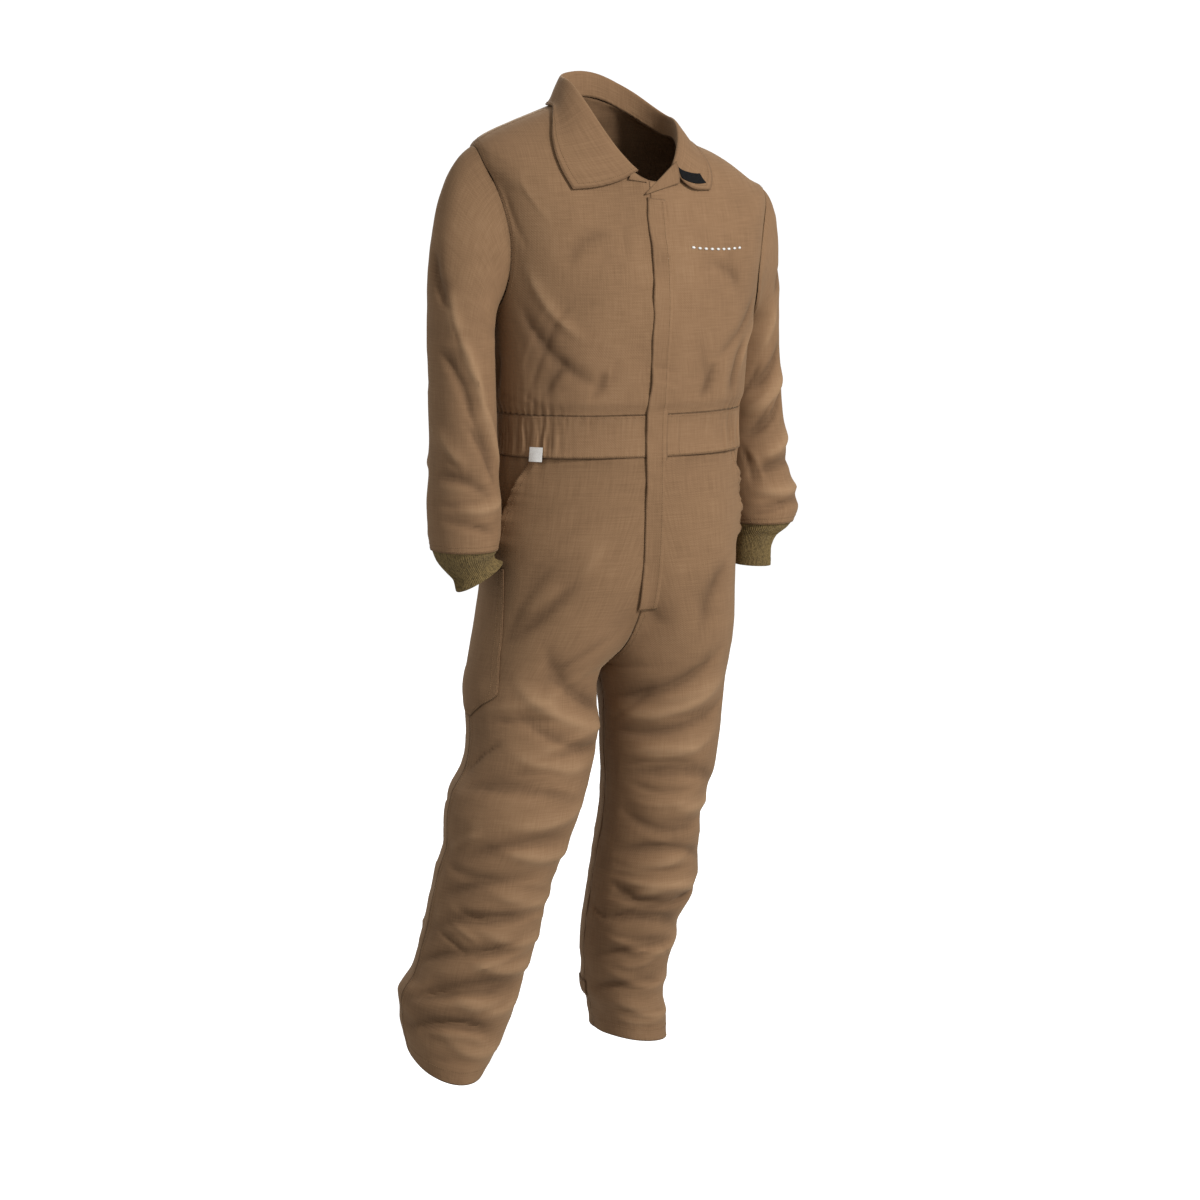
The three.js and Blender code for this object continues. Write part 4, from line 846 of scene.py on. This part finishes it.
def finish_sheet(made, wall, material, closed):
    mesh = made.data
    if closed:
        bm = bmesh.new()
        bm.from_mesh(mesh)
        bmesh.ops.remove_doubles(bm, verts=bm.verts, dist=0.00002)
        bm.to_mesh(mesh)
        bm.free()
    mesh.shade_smooth()
    mesh.materials.append(material)
    solid = made.modifiers.new("thickness", "SOLIDIFY")
    solid.thickness, solid.offset, solid.use_even_offset = wall / 1000, -1, material is not KNIT
    round_edges = made.modifiers.new("edges", "BEVEL")
    round_edges.width, round_edges.segments, round_edges.limit_method = EDGE, 2, "ANGLE"
    round_edges.angle_limit, round_edges.harden_normals = np.radians(55), True


def straight(low, high):
    """The two edges of a panel that each keep to one place round the surface."""
    return lambda b: (low + 0 * b, high + 0 * b)


def cloth(part, surface, edges, rows, columns, scale, material=TWILL, wall=WALL["twill"],
          lift=0, closed=False, chart=None):
    """One panel: edges(b) gives its first and last place round the surface, rows its places up it."""
    name = f"{part}_cloth"
    mesh, u, v = grid_mesh(name, columns, len(rows) - 1)
    b = np.interp(v * (len(rows) - 1), np.arange(len(rows)), rows)
    low, high = edges(b)
    a = low + (high - low) * u
    point, out, relief = surface(a, b)
    raised = relief + (lift(a, b, u, v) if callable(lift) else lift)
    place = (point + out * raised[:, None] - ORIGIN) / 1000
    mesh.vertices.foreach_set("co", place.astype(np.float32).ravel())
    across, up = scale
    sides = [(b - rows.min()) * up, (rows.max() - b) * up]
    if not closed:
        sides += [np.abs(a - low) * across, np.abs(high - a) * across]
    # The distance to the nearest panel edge, which the twill uses for seam bumps and for painted shade
    # along the edges.
    keep(mesh, "seam", np.min(sides, axis=0))
    # The fold relief, which the twill turns into painted shade in the hollows and paler crests, partly
    # rubbed wear and partly painted highlight.
    keep(mesh, "fold_wear_and_shade", relief)
    corners = np.empty(len(mesh.loops), int)
    mesh.loops.foreach_get("vertex_index", corners)
    grain = chart(a, b, point) if chart else (a * across, b * up)
    coordinates = np.stack(grain, axis=1)[corners] / 1000
    mesh.uv_layers.new(name="cloth").data.foreach_set("uv", coordinates.astype(np.float32).ravel())
    mesh.update()
    facing = np.empty(len(mesh.polygons) * 3)
    mesh.polygons.foreach_get("normal", facing)
    first = corners[::4]
    if np.sum(facing.reshape(-1, 3) * out[first]) < 0:
        mesh.flip_normals()
    made = bpy.data.objects.new(name, mesh)
    scene.collection.objects.link(made)
    area = sum(face.area for face in mesh.polygons)
    finish_sheet(made, wall, material, closed)
    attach(made, "root")
    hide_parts(part)
    print(f"{name}: {columns} x {len(rows) - 1} faces, {area:.4f} m2 of cloth")


# %% [markdown]
# The bodice: two fronts and a back, cut away at the armholes. The rows crowd together at the
# foot and the top of the armhole, where its edge turns fastest.

# %% Bodice
TRUNK_SCALE, LEG_SCALE, SLEEVE_SCALE = (3.3, 1.0), (1.75, 1.0), (1.0, 270.0)
# Degrees from a piece's edge to the middle of its seam.
GAP = {"trunk": SEAM / 2 / FOLD_SCALE["trunk"], "leg": SEAM / 2 / 1.7}
arm_turn = np.linspace(0, np.pi, 56)
arm_rows = ARM_MIDDLE - ARM_HALF * np.cos(arm_turn)
below_arm = evenly(WAIST_TOP + SEAM / 2, UNDERARM, CELL)
bodice_rows = np.concatenate([below_arm[:-1], arm_rows, evenly(SHOULDER_TIP, NECK, CELL)[1:]])


def cut_at(ring, depth):
    t = np.clip((ring - ARM_MIDDLE) / ARM_HALF, -1, 1)
    return depth * np.sqrt(1 - t * t) + GAP["trunk"]


def upright_grain(angle, ring, point):
    """Keeps the weave upright on the chest and back, where the rings dip towards the middle."""
    share = ease(ring, 1130, 1290)
    turn = angle * TRUNK_SCALE[0]
    front = np.abs(wrapped(angle)) < 90
    x = np.where(front, point[:, 0], 180 * TRUNK_SCALE[0] - point[:, 0])
    return turn + (x - turn) * share, ring + (point[:, 2] - ring) * share


def add_bodice():
    front, back = ARMHOLE["front"], ARMHOLE["back"]
    gap = GAP["trunk"]
    edges = {
        "left_front_bodice": lambda ring: (gap + 0 * ring, 90 - cut_at(ring, front)),
        "right_front_bodice": lambda ring: (-90 + cut_at(ring, front), -gap + 0 * ring),
        "back_bodice": lambda ring: (90 + cut_at(ring, back), 270 - cut_at(ring, back)),
    }
    for name, ends in edges.items():
        columns = 128 if name == "back_bodice" else 64
        cloth(name, trunk_cloth, ends, bodice_rows, columns, TRUNK_SCALE, chart=upright_grain)


add_bodice()

# %% [markdown]
# The waistband. Its front is flat, and from the wearer's sides round the back it is gathered on
# elastic: the band stands in soft uneven flutes that swell between its two seams.

# %% Waistband
def band_cloth(angle, ring):
    turn = np.abs(wrapped(angle))
    here = ease(turn, GATHERS, GATHERS + 16) * (1 - ease(turn, 160, 178))
    v = np.clip((ring - WAIST_LOW) / (WAIST_TOP - WAIST_LOW), 0, 1)
    swell = 0.25 + 0.75 * np.sin(np.pi * v)
    across = turn * 3.4
    place = across + 5 * lattice(across / 16, ring / 50, 71) + 2 * lattice(across / 7, ring / 24, 72)
    flutes = lattice(place / 4.6, ring / 46, 74) + 0.5 * lattice(place / 3.1, ring / 30, 75)
    wide = wrinkles(across, ring, 26, 70, 0.1, 73)
    top_pull = ease(v, 0.45, 1) * lattice(across / 5, ring * 0, 76)
    height = 0.9 + swell * (0.3 + 1.5 * here) * flutes + here * 0.6 * wide + 0.45 * top_pull
    return trunk_base(angle, ring), trunk_out(angle, ring), height


def add_waistband():
    rows = evenly(WAIST_LOW + SEAM / 2, WAIST_TOP - SEAM / 2, 3.6)
    gap = GAP["trunk"]
    for name, low, high, columns in (("left", 0, 90, 150), ("right", -90, 0, 150), ("back", 90, 270, 300)):
        edges = straight(low + gap, high - gap)
        cloth(f"waistband_{name}", band_cloth, edges, rows, columns, TRUNK_SCALE)


add_waistband()

# %% [markdown]
# The trousers. Each leg is a front and a back, which bridge the hollow between the thighs above
# the crotch. The front is cut back at the hip for the pocket's mouth, and its cut edge gapes.
# Behind it lies the facing, the piece of cloth that shows inside the mouth.

# %% Trousers
def mouth_at(height):
    return np.where(height > POCKET["foot"], read(POCKET_MOUTH, "angle", height), 180)


def gape(a, b, u=0, v=0):
    """Lifts the cut edge of a hip pocket's mouth, unevenly, and less towards its two ends."""
    near = 1 - np.clip((mouth_at(b) - a) / POCKET["reach"], 0, 1)
    along = ease(b, POCKET["foot"], 905) * (1 - ease(b, 985, WAIST_LOW))
    crush = 1 + 0.7 * lattice(b / 13, b * 0, 81) + 0.4 * lattice(b / 6, b * 0, 82)
    return np.where(b > POCKET["foot"], POCKET["gape"] * near**2 * along * crush, 0)


def add_leg(side):
    rows = evenly(LEG[side]["height"][0], WAIST_LOW - SEAM / 2, CELL)
    gap = GAP["leg"]
    front = lambda h: (open_at(h) + gap, mouth_at(h) - gap)
    back = lambda h: (180 + gap, 360 - open_at(h) - gap)
    facing = lambda h: (mouth_at(h) - POCKET["under"], 180 - gap)
    cloth(f"{side}_leg_front", leg_cloth(side), front, rows, 66, LEG_SCALE, lift=gape)
    cloth(f"{side}_leg_back", leg_cloth(side), back, rows, 66, LEG_SCALE)

    def sink(a, b, u, v):
        """The facing lies just under the mouth's edge and comes up to the leg's cloth behind it."""
        return -(2 + POCKET["sink"]) * (1 - ease(a, mouth_at(b) + 1, mouth_at(b) + 17))

    face_rows = evenly(POCKET["foot"] + 8, WAIST_LOW - SEAM / 2, 4)
    cloth(f"{side}_pocket_facing", leg_cloth(side), facing, face_rows, 22, LEG_SCALE, lift=sink)


add_leg("right")
add_leg("left")

# %% [markdown]
# The patch pocket on the right thigh lies on the leg, across its side seam, and bellows a little.
# Its two lower corners are cut off. A small tab is sewn on the inner side of each trouser end.

# %% Thigh pocket and tabs
TAB = {"left": 147, "right": 186, "wide": 26, "from": 298, "to": 364}  # heights, width and angles


def swell(a, b, u, v):
    """Lifts the middle of the thigh pocket, where u and v run across it and up it from 0 to 1."""
    return 2.4 + 6 * np.sin(np.pi * u) * np.sin(np.pi * v**0.7)


def thigh_pocket_edges(height):
    return read(THIGH_POCKET, "front", height), read(THIGH_POCKET, "back", height)


def add_patches():
    rows = evenly(THIGH_POCKET["height"][0], THIGH_POCKET["height"][-1], 4)
    cloth("thigh_pocket", leg_cloth("right"), thigh_pocket_edges, rows, 30, LEG_SCALE, lift=swell)
    edges = straight(TAB["from"], TAB["to"])
    for side in ("left", "right"):
        rows = evenly(TAB[side], TAB[side] + TAB["wide"], 3)
        cloth(f"{side}_ankle_tab", leg_cloth(side), edges, rows, 34, LEG_SCALE, lift=2.7)


add_patches()

# %% [markdown]
# The placket covers the front closing. Its free edge lies over the wearer's right front, wavy
# where the closing under it pulls, and the other edge is stitched down to the left front.

# %% Front placket
PLACKET = {"right": -7, "left": 28, "top": 1516}


def front_angle(x, ring):
    """The angles on the trunk and on both legs of a point x mm from the centre front."""
    half, square = read(TRUNK, "half", ring), read(TRUNK, "square", ring)
    on_trunk = np.sign(x) * np.degrees(np.arcsin(np.clip(np.abs(x / half) ** (square / 2), 0, 1)))
    middle, opened = read(SEAT, "middle", ring), np.radians(read(SEAT, "open", ring))
    found = {"trunk": on_trunk}
    for side in ("left", "right"):
        wide = np.abs(read(LEG[side], "outer", ring) - middle) / (1 + np.cos(opened))
        found[side] = np.degrees(np.arccos(np.clip(np.cos(opened) - np.abs(x) / wide, -1, 1)))
    return found


def front_cloth(x, ring):
    angles = front_angle(x, ring)
    parts = {"trunk": trunk_cloth(angles["trunk"], np.maximum(ring, WAIST_LOW))}
    for side in ("left", "right"):
        parts[side] = leg_cloth(side)(angles[side], np.minimum(ring, WAIST_LOW))
    upper, left = ring >= WAIST_LOW, x >= 0
    found = []
    for trunk_has, left_has, right_has in zip(parts["trunk"], parts["left"], parts["right"]):
        pick = (lambda x: x) if trunk_has.ndim == 1 else (lambda x: x[:, None])
        found.append(np.where(pick(upper), trunk_has, np.where(pick(left), left_has, right_has)))
    return found


def placket_lift(x, ring, u, v=0):
    """Raises the free edge most, where u is 0, and sinks the stitched edge, where u is 1."""
    wave = 1.3 * lattice(ring / 34, ring * 0, 91) + 0.9 * lattice(ring / 13, ring * 0, 92)
    pull = lattice(x / 30 + ring / 60, ring / 11, 93) * np.exp(-((ring - 1140) / 60) ** 2)
    over_band = ease(ring, 1024, 1036) * (1 - ease(ring, 1100, 1112))
    base = 2.3 + 0.9 * over_band
    sewn = (3.6 - 1.6 * over_band) * ease(u, 0.72, 1.0)
    return base - sewn + (1 - u) ** 1.5 * (0.9 + wave) + 0.8 * pull * np.sin(np.pi * u)


def add_placket():
    rows = evenly(FLY_END, PLACKET["top"], CELL)
    ends = lambda ring: (PLACKET["right"] + 1.6 * lattice(ring / 40, ring * 0, 94), PLACKET["left"])
    cloth("front_placket", front_cloth, ends, rows, 16, (1.0, 1.0), lift=placket_lift)


add_placket()

# %% [markdown]
# The collar. Its cloth rises from the neck seam as a stand, rolls over and falls as a leaf. Six
# points across it at every angle carry one smooth curve, the same curve the solids have.

# %% Collar
def spline(points, across):
    """A centripetal curve through points, a list of arrays, at a place from 0 to 1 along it."""
    last = len(points) - 1
    stack = np.stack([2 * points[0] - points[1], *points, 2 * points[-1] - points[-2]])
    t = np.clip(across, 0, 1) * last
    i = np.minimum(t.astype(int), last - 1)
    w = (t - i)[..., None]
    spot = np.arange(len(t))
    p = [stack[i + k, spot] for k in range(4)]
    spans = [np.linalg.norm(p[k + 1] - p[k], axis=-1, keepdims=True) for k in range(3)]
    d = [np.maximum(span, 1e-4) ** 0.5 for span in spans]
    go = ((p[1] - p[0]) / d[0] - (p[2] - p[0]) / (d[0] + d[1]) + (p[2] - p[1]) / d[1]) * d[1]
    come = ((p[2] - p[1]) / d[1] - (p[3] - p[1]) / (d[1] + d[2]) + (p[3] - p[2]) / d[2]) * d[1]
    square = -3 * p[1] + 3 * p[2] - 2 * go - come
    return p[1] + go * w + square * w**2 + (2 * p[1] - 2 * p[2] + go + come) * w**3


def collar_base(angle, across):
    """across is 0 at the neck seam and 1 at the collar's free edge; angle is the trunk's."""
    turn = np.where(angle <= 180, angle, 360 - angle)
    s = np.where(angle <= 180, 1, -1)

    def r(column):
        left, right = (read(COLLAR[side], column, turn) for side in ("left", "right"))
        return np.where(s > 0, left, right)

    neck = NECK + 0 * angle
    seam_out = trunk_out(angle, neck - 1)
    flat = unit(seam_out * (1, 1, 0))
    onward = unit(trunk_base(angle, neck) - trunk_base(angle, neck - 2))
    seam = trunk_base(angle, neck) - seam_out + onward * 2.6
    rise = r("stand")
    up = vec(0, 0, 1)

    def leaf(part, lift):
        a = turn + (r("edgeAngle") - turn) * part - r("belly") * np.sin(np.pi * part)
        ring = NECK + (r("edgeRing") - NECK) * part
        out = trunk_out(s * a, np.minimum(ring, NECK - 1))
        return trunk_base(s * a, ring) + out * (lift + 0 * turn)[..., None]

    roll = seam + flat * 2.4 + up * rise[..., None]
    stand = seam - flat * 0.4 + up * rise[..., None] * 0.55
    fall = leaf(0.3, 4 + rise * 0.1) + up * rise[..., None] * 0.42
    points = [seam, stand, roll, fall, leaf(0.68, 4.8 + rise * 0.06), leaf(1, 3.3)]
    return spline(points, across)


def collar_cloth(angle, across):
    out = -normals(collar_base, angle, across, 0.5, 0.01)
    wave = wrinkles(angle * 1.4, across * 90, 60, 60, 0.2, 101) * ease(across, 0.3, 0.8)
    return collar_base(angle, across), out, 0.5 * wave


COLLAR_ENDS = (COLLAR["left"]["angle"][0], 360 - COLLAR["right"]["angle"][0])


def add_collar():
    cloth("collar", collar_cloth, straight(*COLLAR_ENDS), np.linspace(0, 1, 44), 190, (1.5, 95),
          wall=WALL["collar"], lift=1.0)


# The hook patch is a slanted oblong: the angle and the place across the collar of its corners.
PATCH = {"angle": (35.75, 42.75, 33.4, 37.9), "across": (0.49, 0.79, 0.615, 0.915)}


def slanted(u, v):
    angle, across = (
        (c[0] * (1 - u) + c[1] * u) * (1 - v) + (c[2] * (1 - u) + c[3] * u) * v
        for c in (PATCH["angle"], PATCH["across"])
    )
    return collar_cloth(angle, across)


def add_patch():
    cloth("collar_patch", slanted, straight(0, 1), np.linspace(0, 1, 8), 16, (40, 20),
          material=HOOKS, wall=WALL["hooks"], lift=2.4)


add_collar()
add_patch()

# %% [markdown]
# The lapels are the small corners of the fronts that fold outwards under the collar's ends.

# %% Lapels and label
LAPELS = {
    "left_lapel": {"foot": (-4.5, 1517, 4.4), "tip": (24.5, 1530.5, 5.2), "top": (33, 1542, 8), "rise": 13},
    "right_lapel": {"foot": (-2, 1538, 1.8), "tip": (-15.5, 1529.5, 2.6), "top": (-17, 1542, 3), "rise": 1},
}


def lapel_cloth(name):
    """A triangle from its foot at the front edge to the gorge, between its top and its tip."""
    made = LAPELS[name]
    corner = {}
    for key in ("foot", "tip", "top"):
        angle, ring, lift = (np.array([x], float) for x in made[key])
        out = trunk_out(angle, np.minimum(ring, NECK - 1))
        corner[key] = (trunk_base(angle, ring) + out * lift)[0]
    corner["top"] = corner["top"] + (0, 0, made["rise"])

    def at(u, v):
        edge = corner["top"] + (corner["tip"] - corner["top"]) * np.asarray(u)[..., None]
        return corner["foot"] + (edge - corner["foot"]) * np.asarray(v)[..., None]

    def lapel_at(u, v):
        out = normals(at, u, v, 0.02, 0.01)
        out = out * np.where(out[..., 1:2] > 0, -1, 1)
        return at(u, v), out, 0 * u

    return lapel_at


def add_lapel(name):
    puff = lambda a, b, u, v: 2.6 * np.sin(np.pi * np.clip(u, 0, 1)) * b - 1.5 * (1 - u) ** 4
    cloth(name, lapel_cloth(name), straight(0, 1), np.linspace(0.04, 1, 18), 14, (40, 55), lift=puff)


for lapel in LAPELS:
    add_lapel(lapel)


LABEL = {"low": 1030, "high": 1052, "from": -58.5, "to": -50.5}


def smooth_band(angle, ring):
    return trunk_base(angle, ring), trunk_out(angle, ring), 0 * angle


def add_label():
    lift = lambda a, b, u, v: 3.6 + 1.2 * np.sin(np.pi * u) * (1 - v)
    edges, rows = straight(LABEL["from"], LABEL["to"]), evenly(LABEL["low"], LABEL["high"], 2)
    cloth("pocket_label", smooth_band, edges, rows, 14, TRUNK_SCALE, material=TAPE,
          wall=WALL["tape"], lift=lift)


add_label()

# %% [markdown]
# Sleeves and cuffs. Each is one closed tube. The sleeve's first part leaves the armhole and turns
# down, the second follows the arm. The cuff is knitted with ribs that run from hem to wrist.

# %% Sleeves and cuffs
def add_sleeve(side):
    rows = np.concatenate([np.linspace(0, 1, 58)[:-1], np.linspace(1, 2, 72)])
    around = straight(180, 540)
    cloth(f"{side}_sleeve", sleeve_cloth(side), around, rows, 84, SLEEVE_SCALE, closed=True)
    down = np.linspace(0, CUFF[side]["drop"][-1], 22)
    cloth(f"{side}_cuff", cuff_cloth(side), around, down, RIBS * 5, (0.75, 1.0), material=KNIT,
          wall=WALL["knit"], closed=True)


add_sleeve("right")
add_sleeve("left")

# %% [markdown]
# Stitches. Work clothes are sewn with rows of lockstitch that show on every edge and seam. Each
# stitch is a small lozenge of thread. One is made from an icosphere, and copies of it are set
# along a line at the machine's pitch, pointing along the line and lying on the cloth, and joined
# into one mesh for each seam. The real pitch of 2.5 mm is drawn as 3.2 mm so that stitches part.

# %% One stitch and a row of them
STITCH = {"long": 2.4, "wide": 1.05, "high": 0.6, "pitch": 3.2}  # mm
BAR_TACK = {"long": 2.6, "wide": 0.6, "high": 0.7, "pitch": 0.7}  # mm, set close and crosswise
SATIN = {"long": 7.5, "wide": 4.6, "high": 0.9, "pitch": 10.6}  # mm, a padded bar of satin stitch


def lozenge():
    bm = bmesh.new()
    bmesh.ops.create_icosphere(bm, subdivisions=1, radius=0.5)
    points = np.array([v.co for v in bm.verts])
    faces = np.array([[v.index for v in f.verts] for f in bm.faces])
    bm.free()
    return points, faces


LOZENGE = lozenge()


def along_line(points, out, pitch):
    """Places at an even pitch along a line on the cloth, with the line's direction and the way out."""
    steps = np.concatenate([[0], np.cumsum(np.linalg.norm(np.diff(points, axis=0), axis=1))])
    count = max(2, int(steps[-1] / pitch))
    at = (np.arange(count) + 0.5) * steps[-1] / count

    def pick(values, where):
        return np.stack([np.interp(where, steps, column) for column in values.T], axis=1)

    spot = pick(points, at)
    ahead = unit(pick(points, at + 0.5) - pick(points, at - 0.5))
    up = unit(pick(out, at))
    return spot, ahead, up, unit(np.cross(up, ahead))


def sew(name, lines, size=STITCH, thread=THREAD, crosswise=False):
    """One joined mesh of stitches along some lines, each a pair of points and ways out."""
    shape, faces = LOZENGE
    points, ends, mapped = [], [], []
    for k, (line, out) in enumerate(lines):
        spot, ahead, up, side = along_line(line, out, size["pitch"])
        if crosswise:
            ahead, side = side, ahead
        long, wide, high = (shape[:, i] * size[key] for i, key in enumerate(("long", "wide", "high")))
        local = long[None, :, None] * ahead[:, None] + wide[None, :, None] * side[:, None]
        made = spot[:, None] + local + high[None, :, None] * up[:, None]
        points.append(made.reshape(-1, 3))
        along = np.arange(len(spot))[:, None] * size["pitch"] + long[None, :]
        mapped.append(np.stack([along, wide[None, :] + 5 * k + 0 * along], axis=2).reshape(-1, 2))
        ends.append(len(spot))
    points, mapped = np.concatenate(points), np.concatenate(mapped) / 1000
    loops = (faces[None] + len(shape) * np.arange(sum(ends))[:, None, None]).reshape(-1, 3)
    mesh = bpy.data.meshes.new(name)
    mesh.from_pydata(((points - ORIGIN) / 1000).tolist(), [], loops.tolist())
    coordinates = mapped[loops.ravel()].astype(np.float32)
    mesh.uv_layers.new(name="cloth").data.foreach_set("uv", coordinates.ravel())
    mesh.shade_smooth()
    mesh.materials.append(thread)
    made = bpy.data.objects.new(name, mesh)
    scene.collection.objects.link(made)
    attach(made, "root")
    print(f"{name}: {sum(ends)} stitches, {len(loops)} faces")


def row(surface, a, b, lift=0.2):
    """A line on a surface through the places a, b, and the way out of the cloth along it."""
    a, b = (x.astype(float) for x in np.broadcast_arrays(a, b))
    point, out, relief = surface(a, b)
    return point + out * (relief + lift)[:, None], out


# %% [markdown]
# Where the rows run: two rows beside every strong seam, one row along edges.

# %% Rows of stitches
NEAR, FAR = 1.8, 8.0  # mm from a seam to its first and second row
PER_DEGREE = {"armhole": 3.3, "shoulder": 2.6, "side": 3.4}  # mm of cloth to a degree
LOWER_SLEEVE = 319  # mm from SLEEVE_TOP to the hem, about


def sew_bodice():
    full = np.linspace(2, 178, 240)
    for side, s in SIGN.items():
        lines = []
        for off in (NEAR, FAR):
            ring = ARM_MIDDLE + (ARM_HALF + off) * np.cos(np.radians(full))
            for depth, way in ((ARMHOLE["front"], -1), (ARMHOLE["back"], 1)):
                across = (depth + off / PER_DEGREE["armhole"]) * np.sin(np.radians(full)) * way
                lines.append(row(trunk_cloth, s * (90 + across), ring))
            up = np.linspace(SHOULDER_TIP + 10, NECK - 6, 60)
            lines.append(row(trunk_cloth, s * (90 - off / PER_DEGREE["shoulder"]), up))
            down = np.linspace(WAIST_TOP + 2, UNDERARM - 10, 90)
            lines.append(row(trunk_cloth, s * (90 - off / PER_DEGREE["side"]), down))
        sew(f"{side}_bodice_stitches", lines)
    round_it = np.linspace(-180, 180, 900)
    band = [row(band_cloth, round_it, ring) for ring in (WAIST_LOW + 3, WAIST_TOP - 3)]
    up = np.linspace(WAIST_LOW + 2, WAIST_TOP - 2, 30)
    band.append(row(band_cloth, 12.3, up, 0.3))
    sew("waistband_stitches", band)


def sew_legs():
    for side in SIGN:
        surface, low = leg_cloth(side), LEG[side]["height"][0]
        lines = [row(surface, np.linspace(0, 360, 400), low + 20)]
        outer = np.linspace(low + 2, POCKET["foot"] - 4, 400)
        inner = np.linspace(low + 2, CROTCH - 6, 300)
        mouth = np.linspace(POCKET["foot"] + 2, WAIST_LOW - 3, 120)
        for off in (NEAR, FAR):
            turn = off / LEG_SCALE[0]
            lines.append(row(surface, 180 - turn, outer))
            lines.append(row(surface, 360 - turn, inner))
            edge = mouth_at(mouth) - turn
            lines.append(row(surface, edge, mouth, gape(edge, mouth) + 0.2))
            seat = np.linspace(CROTCH + 8, WAIST_LOW - 4, 170)
            if side == "left":
                lines.append(row(surface, 360 - open_at(seat) - turn, seat))
                fly = np.linspace(CROTCH + 8, FLY_END - 3, 70)
                lines.append(row(surface, open_at(fly) + turn, fly))
        sew(f"{side}_leg_stitches", lines)


def sew_thigh_pocket():
    foot, top = THIGH_POCKET["height"][0], THIGH_POCKET["height"][-1]

    def pocket_row(across, up):
        across, up = np.broadcast_arrays(across, up)
        height = foot + (top - foot) * up
        front, back = thigh_pocket_edges(height)
        angle = front + (back - front) * across
        return row(leg_cloth("right"), angle, height, swell(angle, height, across, up) + 0.2)

    lines = []
    for off in (2.0, 8.5):
        u, v = off / 90, off / 230
        lines += [pocket_row(place, np.linspace(v, 1, 120)) for place in (u, 1 - u)]
        lines.append(pocket_row(np.linspace(u, 1 - u, 60), v))
    sew("thigh_pocket_stitches", lines)


def sew_sleeves():
    for side in SIGN:
        surface = sleeve_cloth(side)
        round_it = np.linspace(0, 360, 300)
        lines = [row(surface, round_it, 2 - off / LOWER_SLEEVE) for off in (3.0, 9.6)]
        down = np.linspace(0.04, 1.96, 300)
        lines += [row(surface, 180 + off, down) for off in (NEAR, FAR)]
        sew(f"{side}_sleeve_stitches", lines)


def sew_front():
    ring = np.linspace(FLY_END + 3, PLACKET["top"] - 3, 420)
    x = PLACKET["left"] - 9.5 + 0 * ring
    wide = PLACKET["left"] - PLACKET["right"]
    share = (x - PLACKET["right"]) / wide
    sew("placket_stitches", [row(front_cloth, x, ring, placket_lift(x, ring, share) + 0.25)])
    bar = np.linspace(-4, 26, 40)
    share = np.clip((bar - PLACKET["right"]) / wide, 0, 1)
    height = FLY_END + 3 + 0 * bar
    tack = row(front_cloth, bar, height, placket_lift(bar, height, share) + 0.3)
    sew("fly_bar", [tack], size=BAR_TACK, crosswise=True)


def sew_collar():
    first, last = COLLAR_ENDS[0] + 3, COLLAR_ENDS[1] - 3
    around, across = np.linspace(first, last, 500), np.linspace(0.12, 0.93, 90)
    lines = [row(collar_cloth, around, 0.93, 1.25)]
    lines += [row(collar_cloth, end, across, 1.25) for end in (first, last)]
    sew("collar_stitches", lines)


CHEST = {"from": (12.6, 1434), "to": (39.6, 1408)}  # angle and ring of the row's two ends


def embroider():
    """A plain row of equal satin bars on the left chest."""
    angle, ring = (np.linspace(*ends, 60) for ends in zip(CHEST["from"], CHEST["to"]))
    sew("chest_bars", [row(trunk_cloth, angle, ring, 0.5)], size=SATIN, thread=WHITE_THREAD)


sew_bodice()
sew_legs()
sew_thigh_pocket()
sew_sleeves()
sew_front()
sew_collar()
embroider()

# %% Studio cove
COVE = {"floor": 6.5, "bend": 2.0, "wall": 5.0}  # metres: flat floor, radius of the bend, top


def add_cove():
    bm = bmesh.new()
    flat, bend = COVE["floor"], COVE["bend"]
    turns = np.linspace(0, np.pi / 2, 9)
    curve = [(flat + bend * np.sin(turn), bend * (1 - np.cos(turn))) for turn in turns]
    profile = [(0.0, 0.0), *curve, (flat + bend, COVE["wall"])]
    line = [bm.verts.new((x, 0, FLOOR + z)) for x, z in profile]
    edges = [bm.edges.new(pair) for pair in zip(line, line[1:])]
    bmesh.ops.spin(bm, geom=line + edges, cent=(0, 0, 0), axis=(0, 0, 1), angle=2 * np.pi, steps=64,
                   use_merge=True)
    bmesh.ops.remove_doubles(bm, verts=bm.verts, dist=0.0001)
    mesh = bpy.data.meshes.new("cove")
    bm.to_mesh(mesh)
    bm.free()
    mesh.shade_smooth()
    cove = bpy.data.objects.new("cove", mesh)
    scene.collection.objects.link(cove)
    cove.visible_diffuse = cove.visible_glossy = cove.visible_shadow = False
    paint, tree, shader = start("white studio paint")
    shader.inputs["Base Color"].default_value = linear("#f4f4f4")
    shader.inputs["Roughness"].default_value = 0.9
    shader.inputs["Emission Color"].default_value = (1, 1, 1, 1)
    shader.inputs["Emission Strength"].default_value = 0.62
    mesh.materials.append(paint)
    print("cove", len(mesh.polygons), "faces")


add_cove()
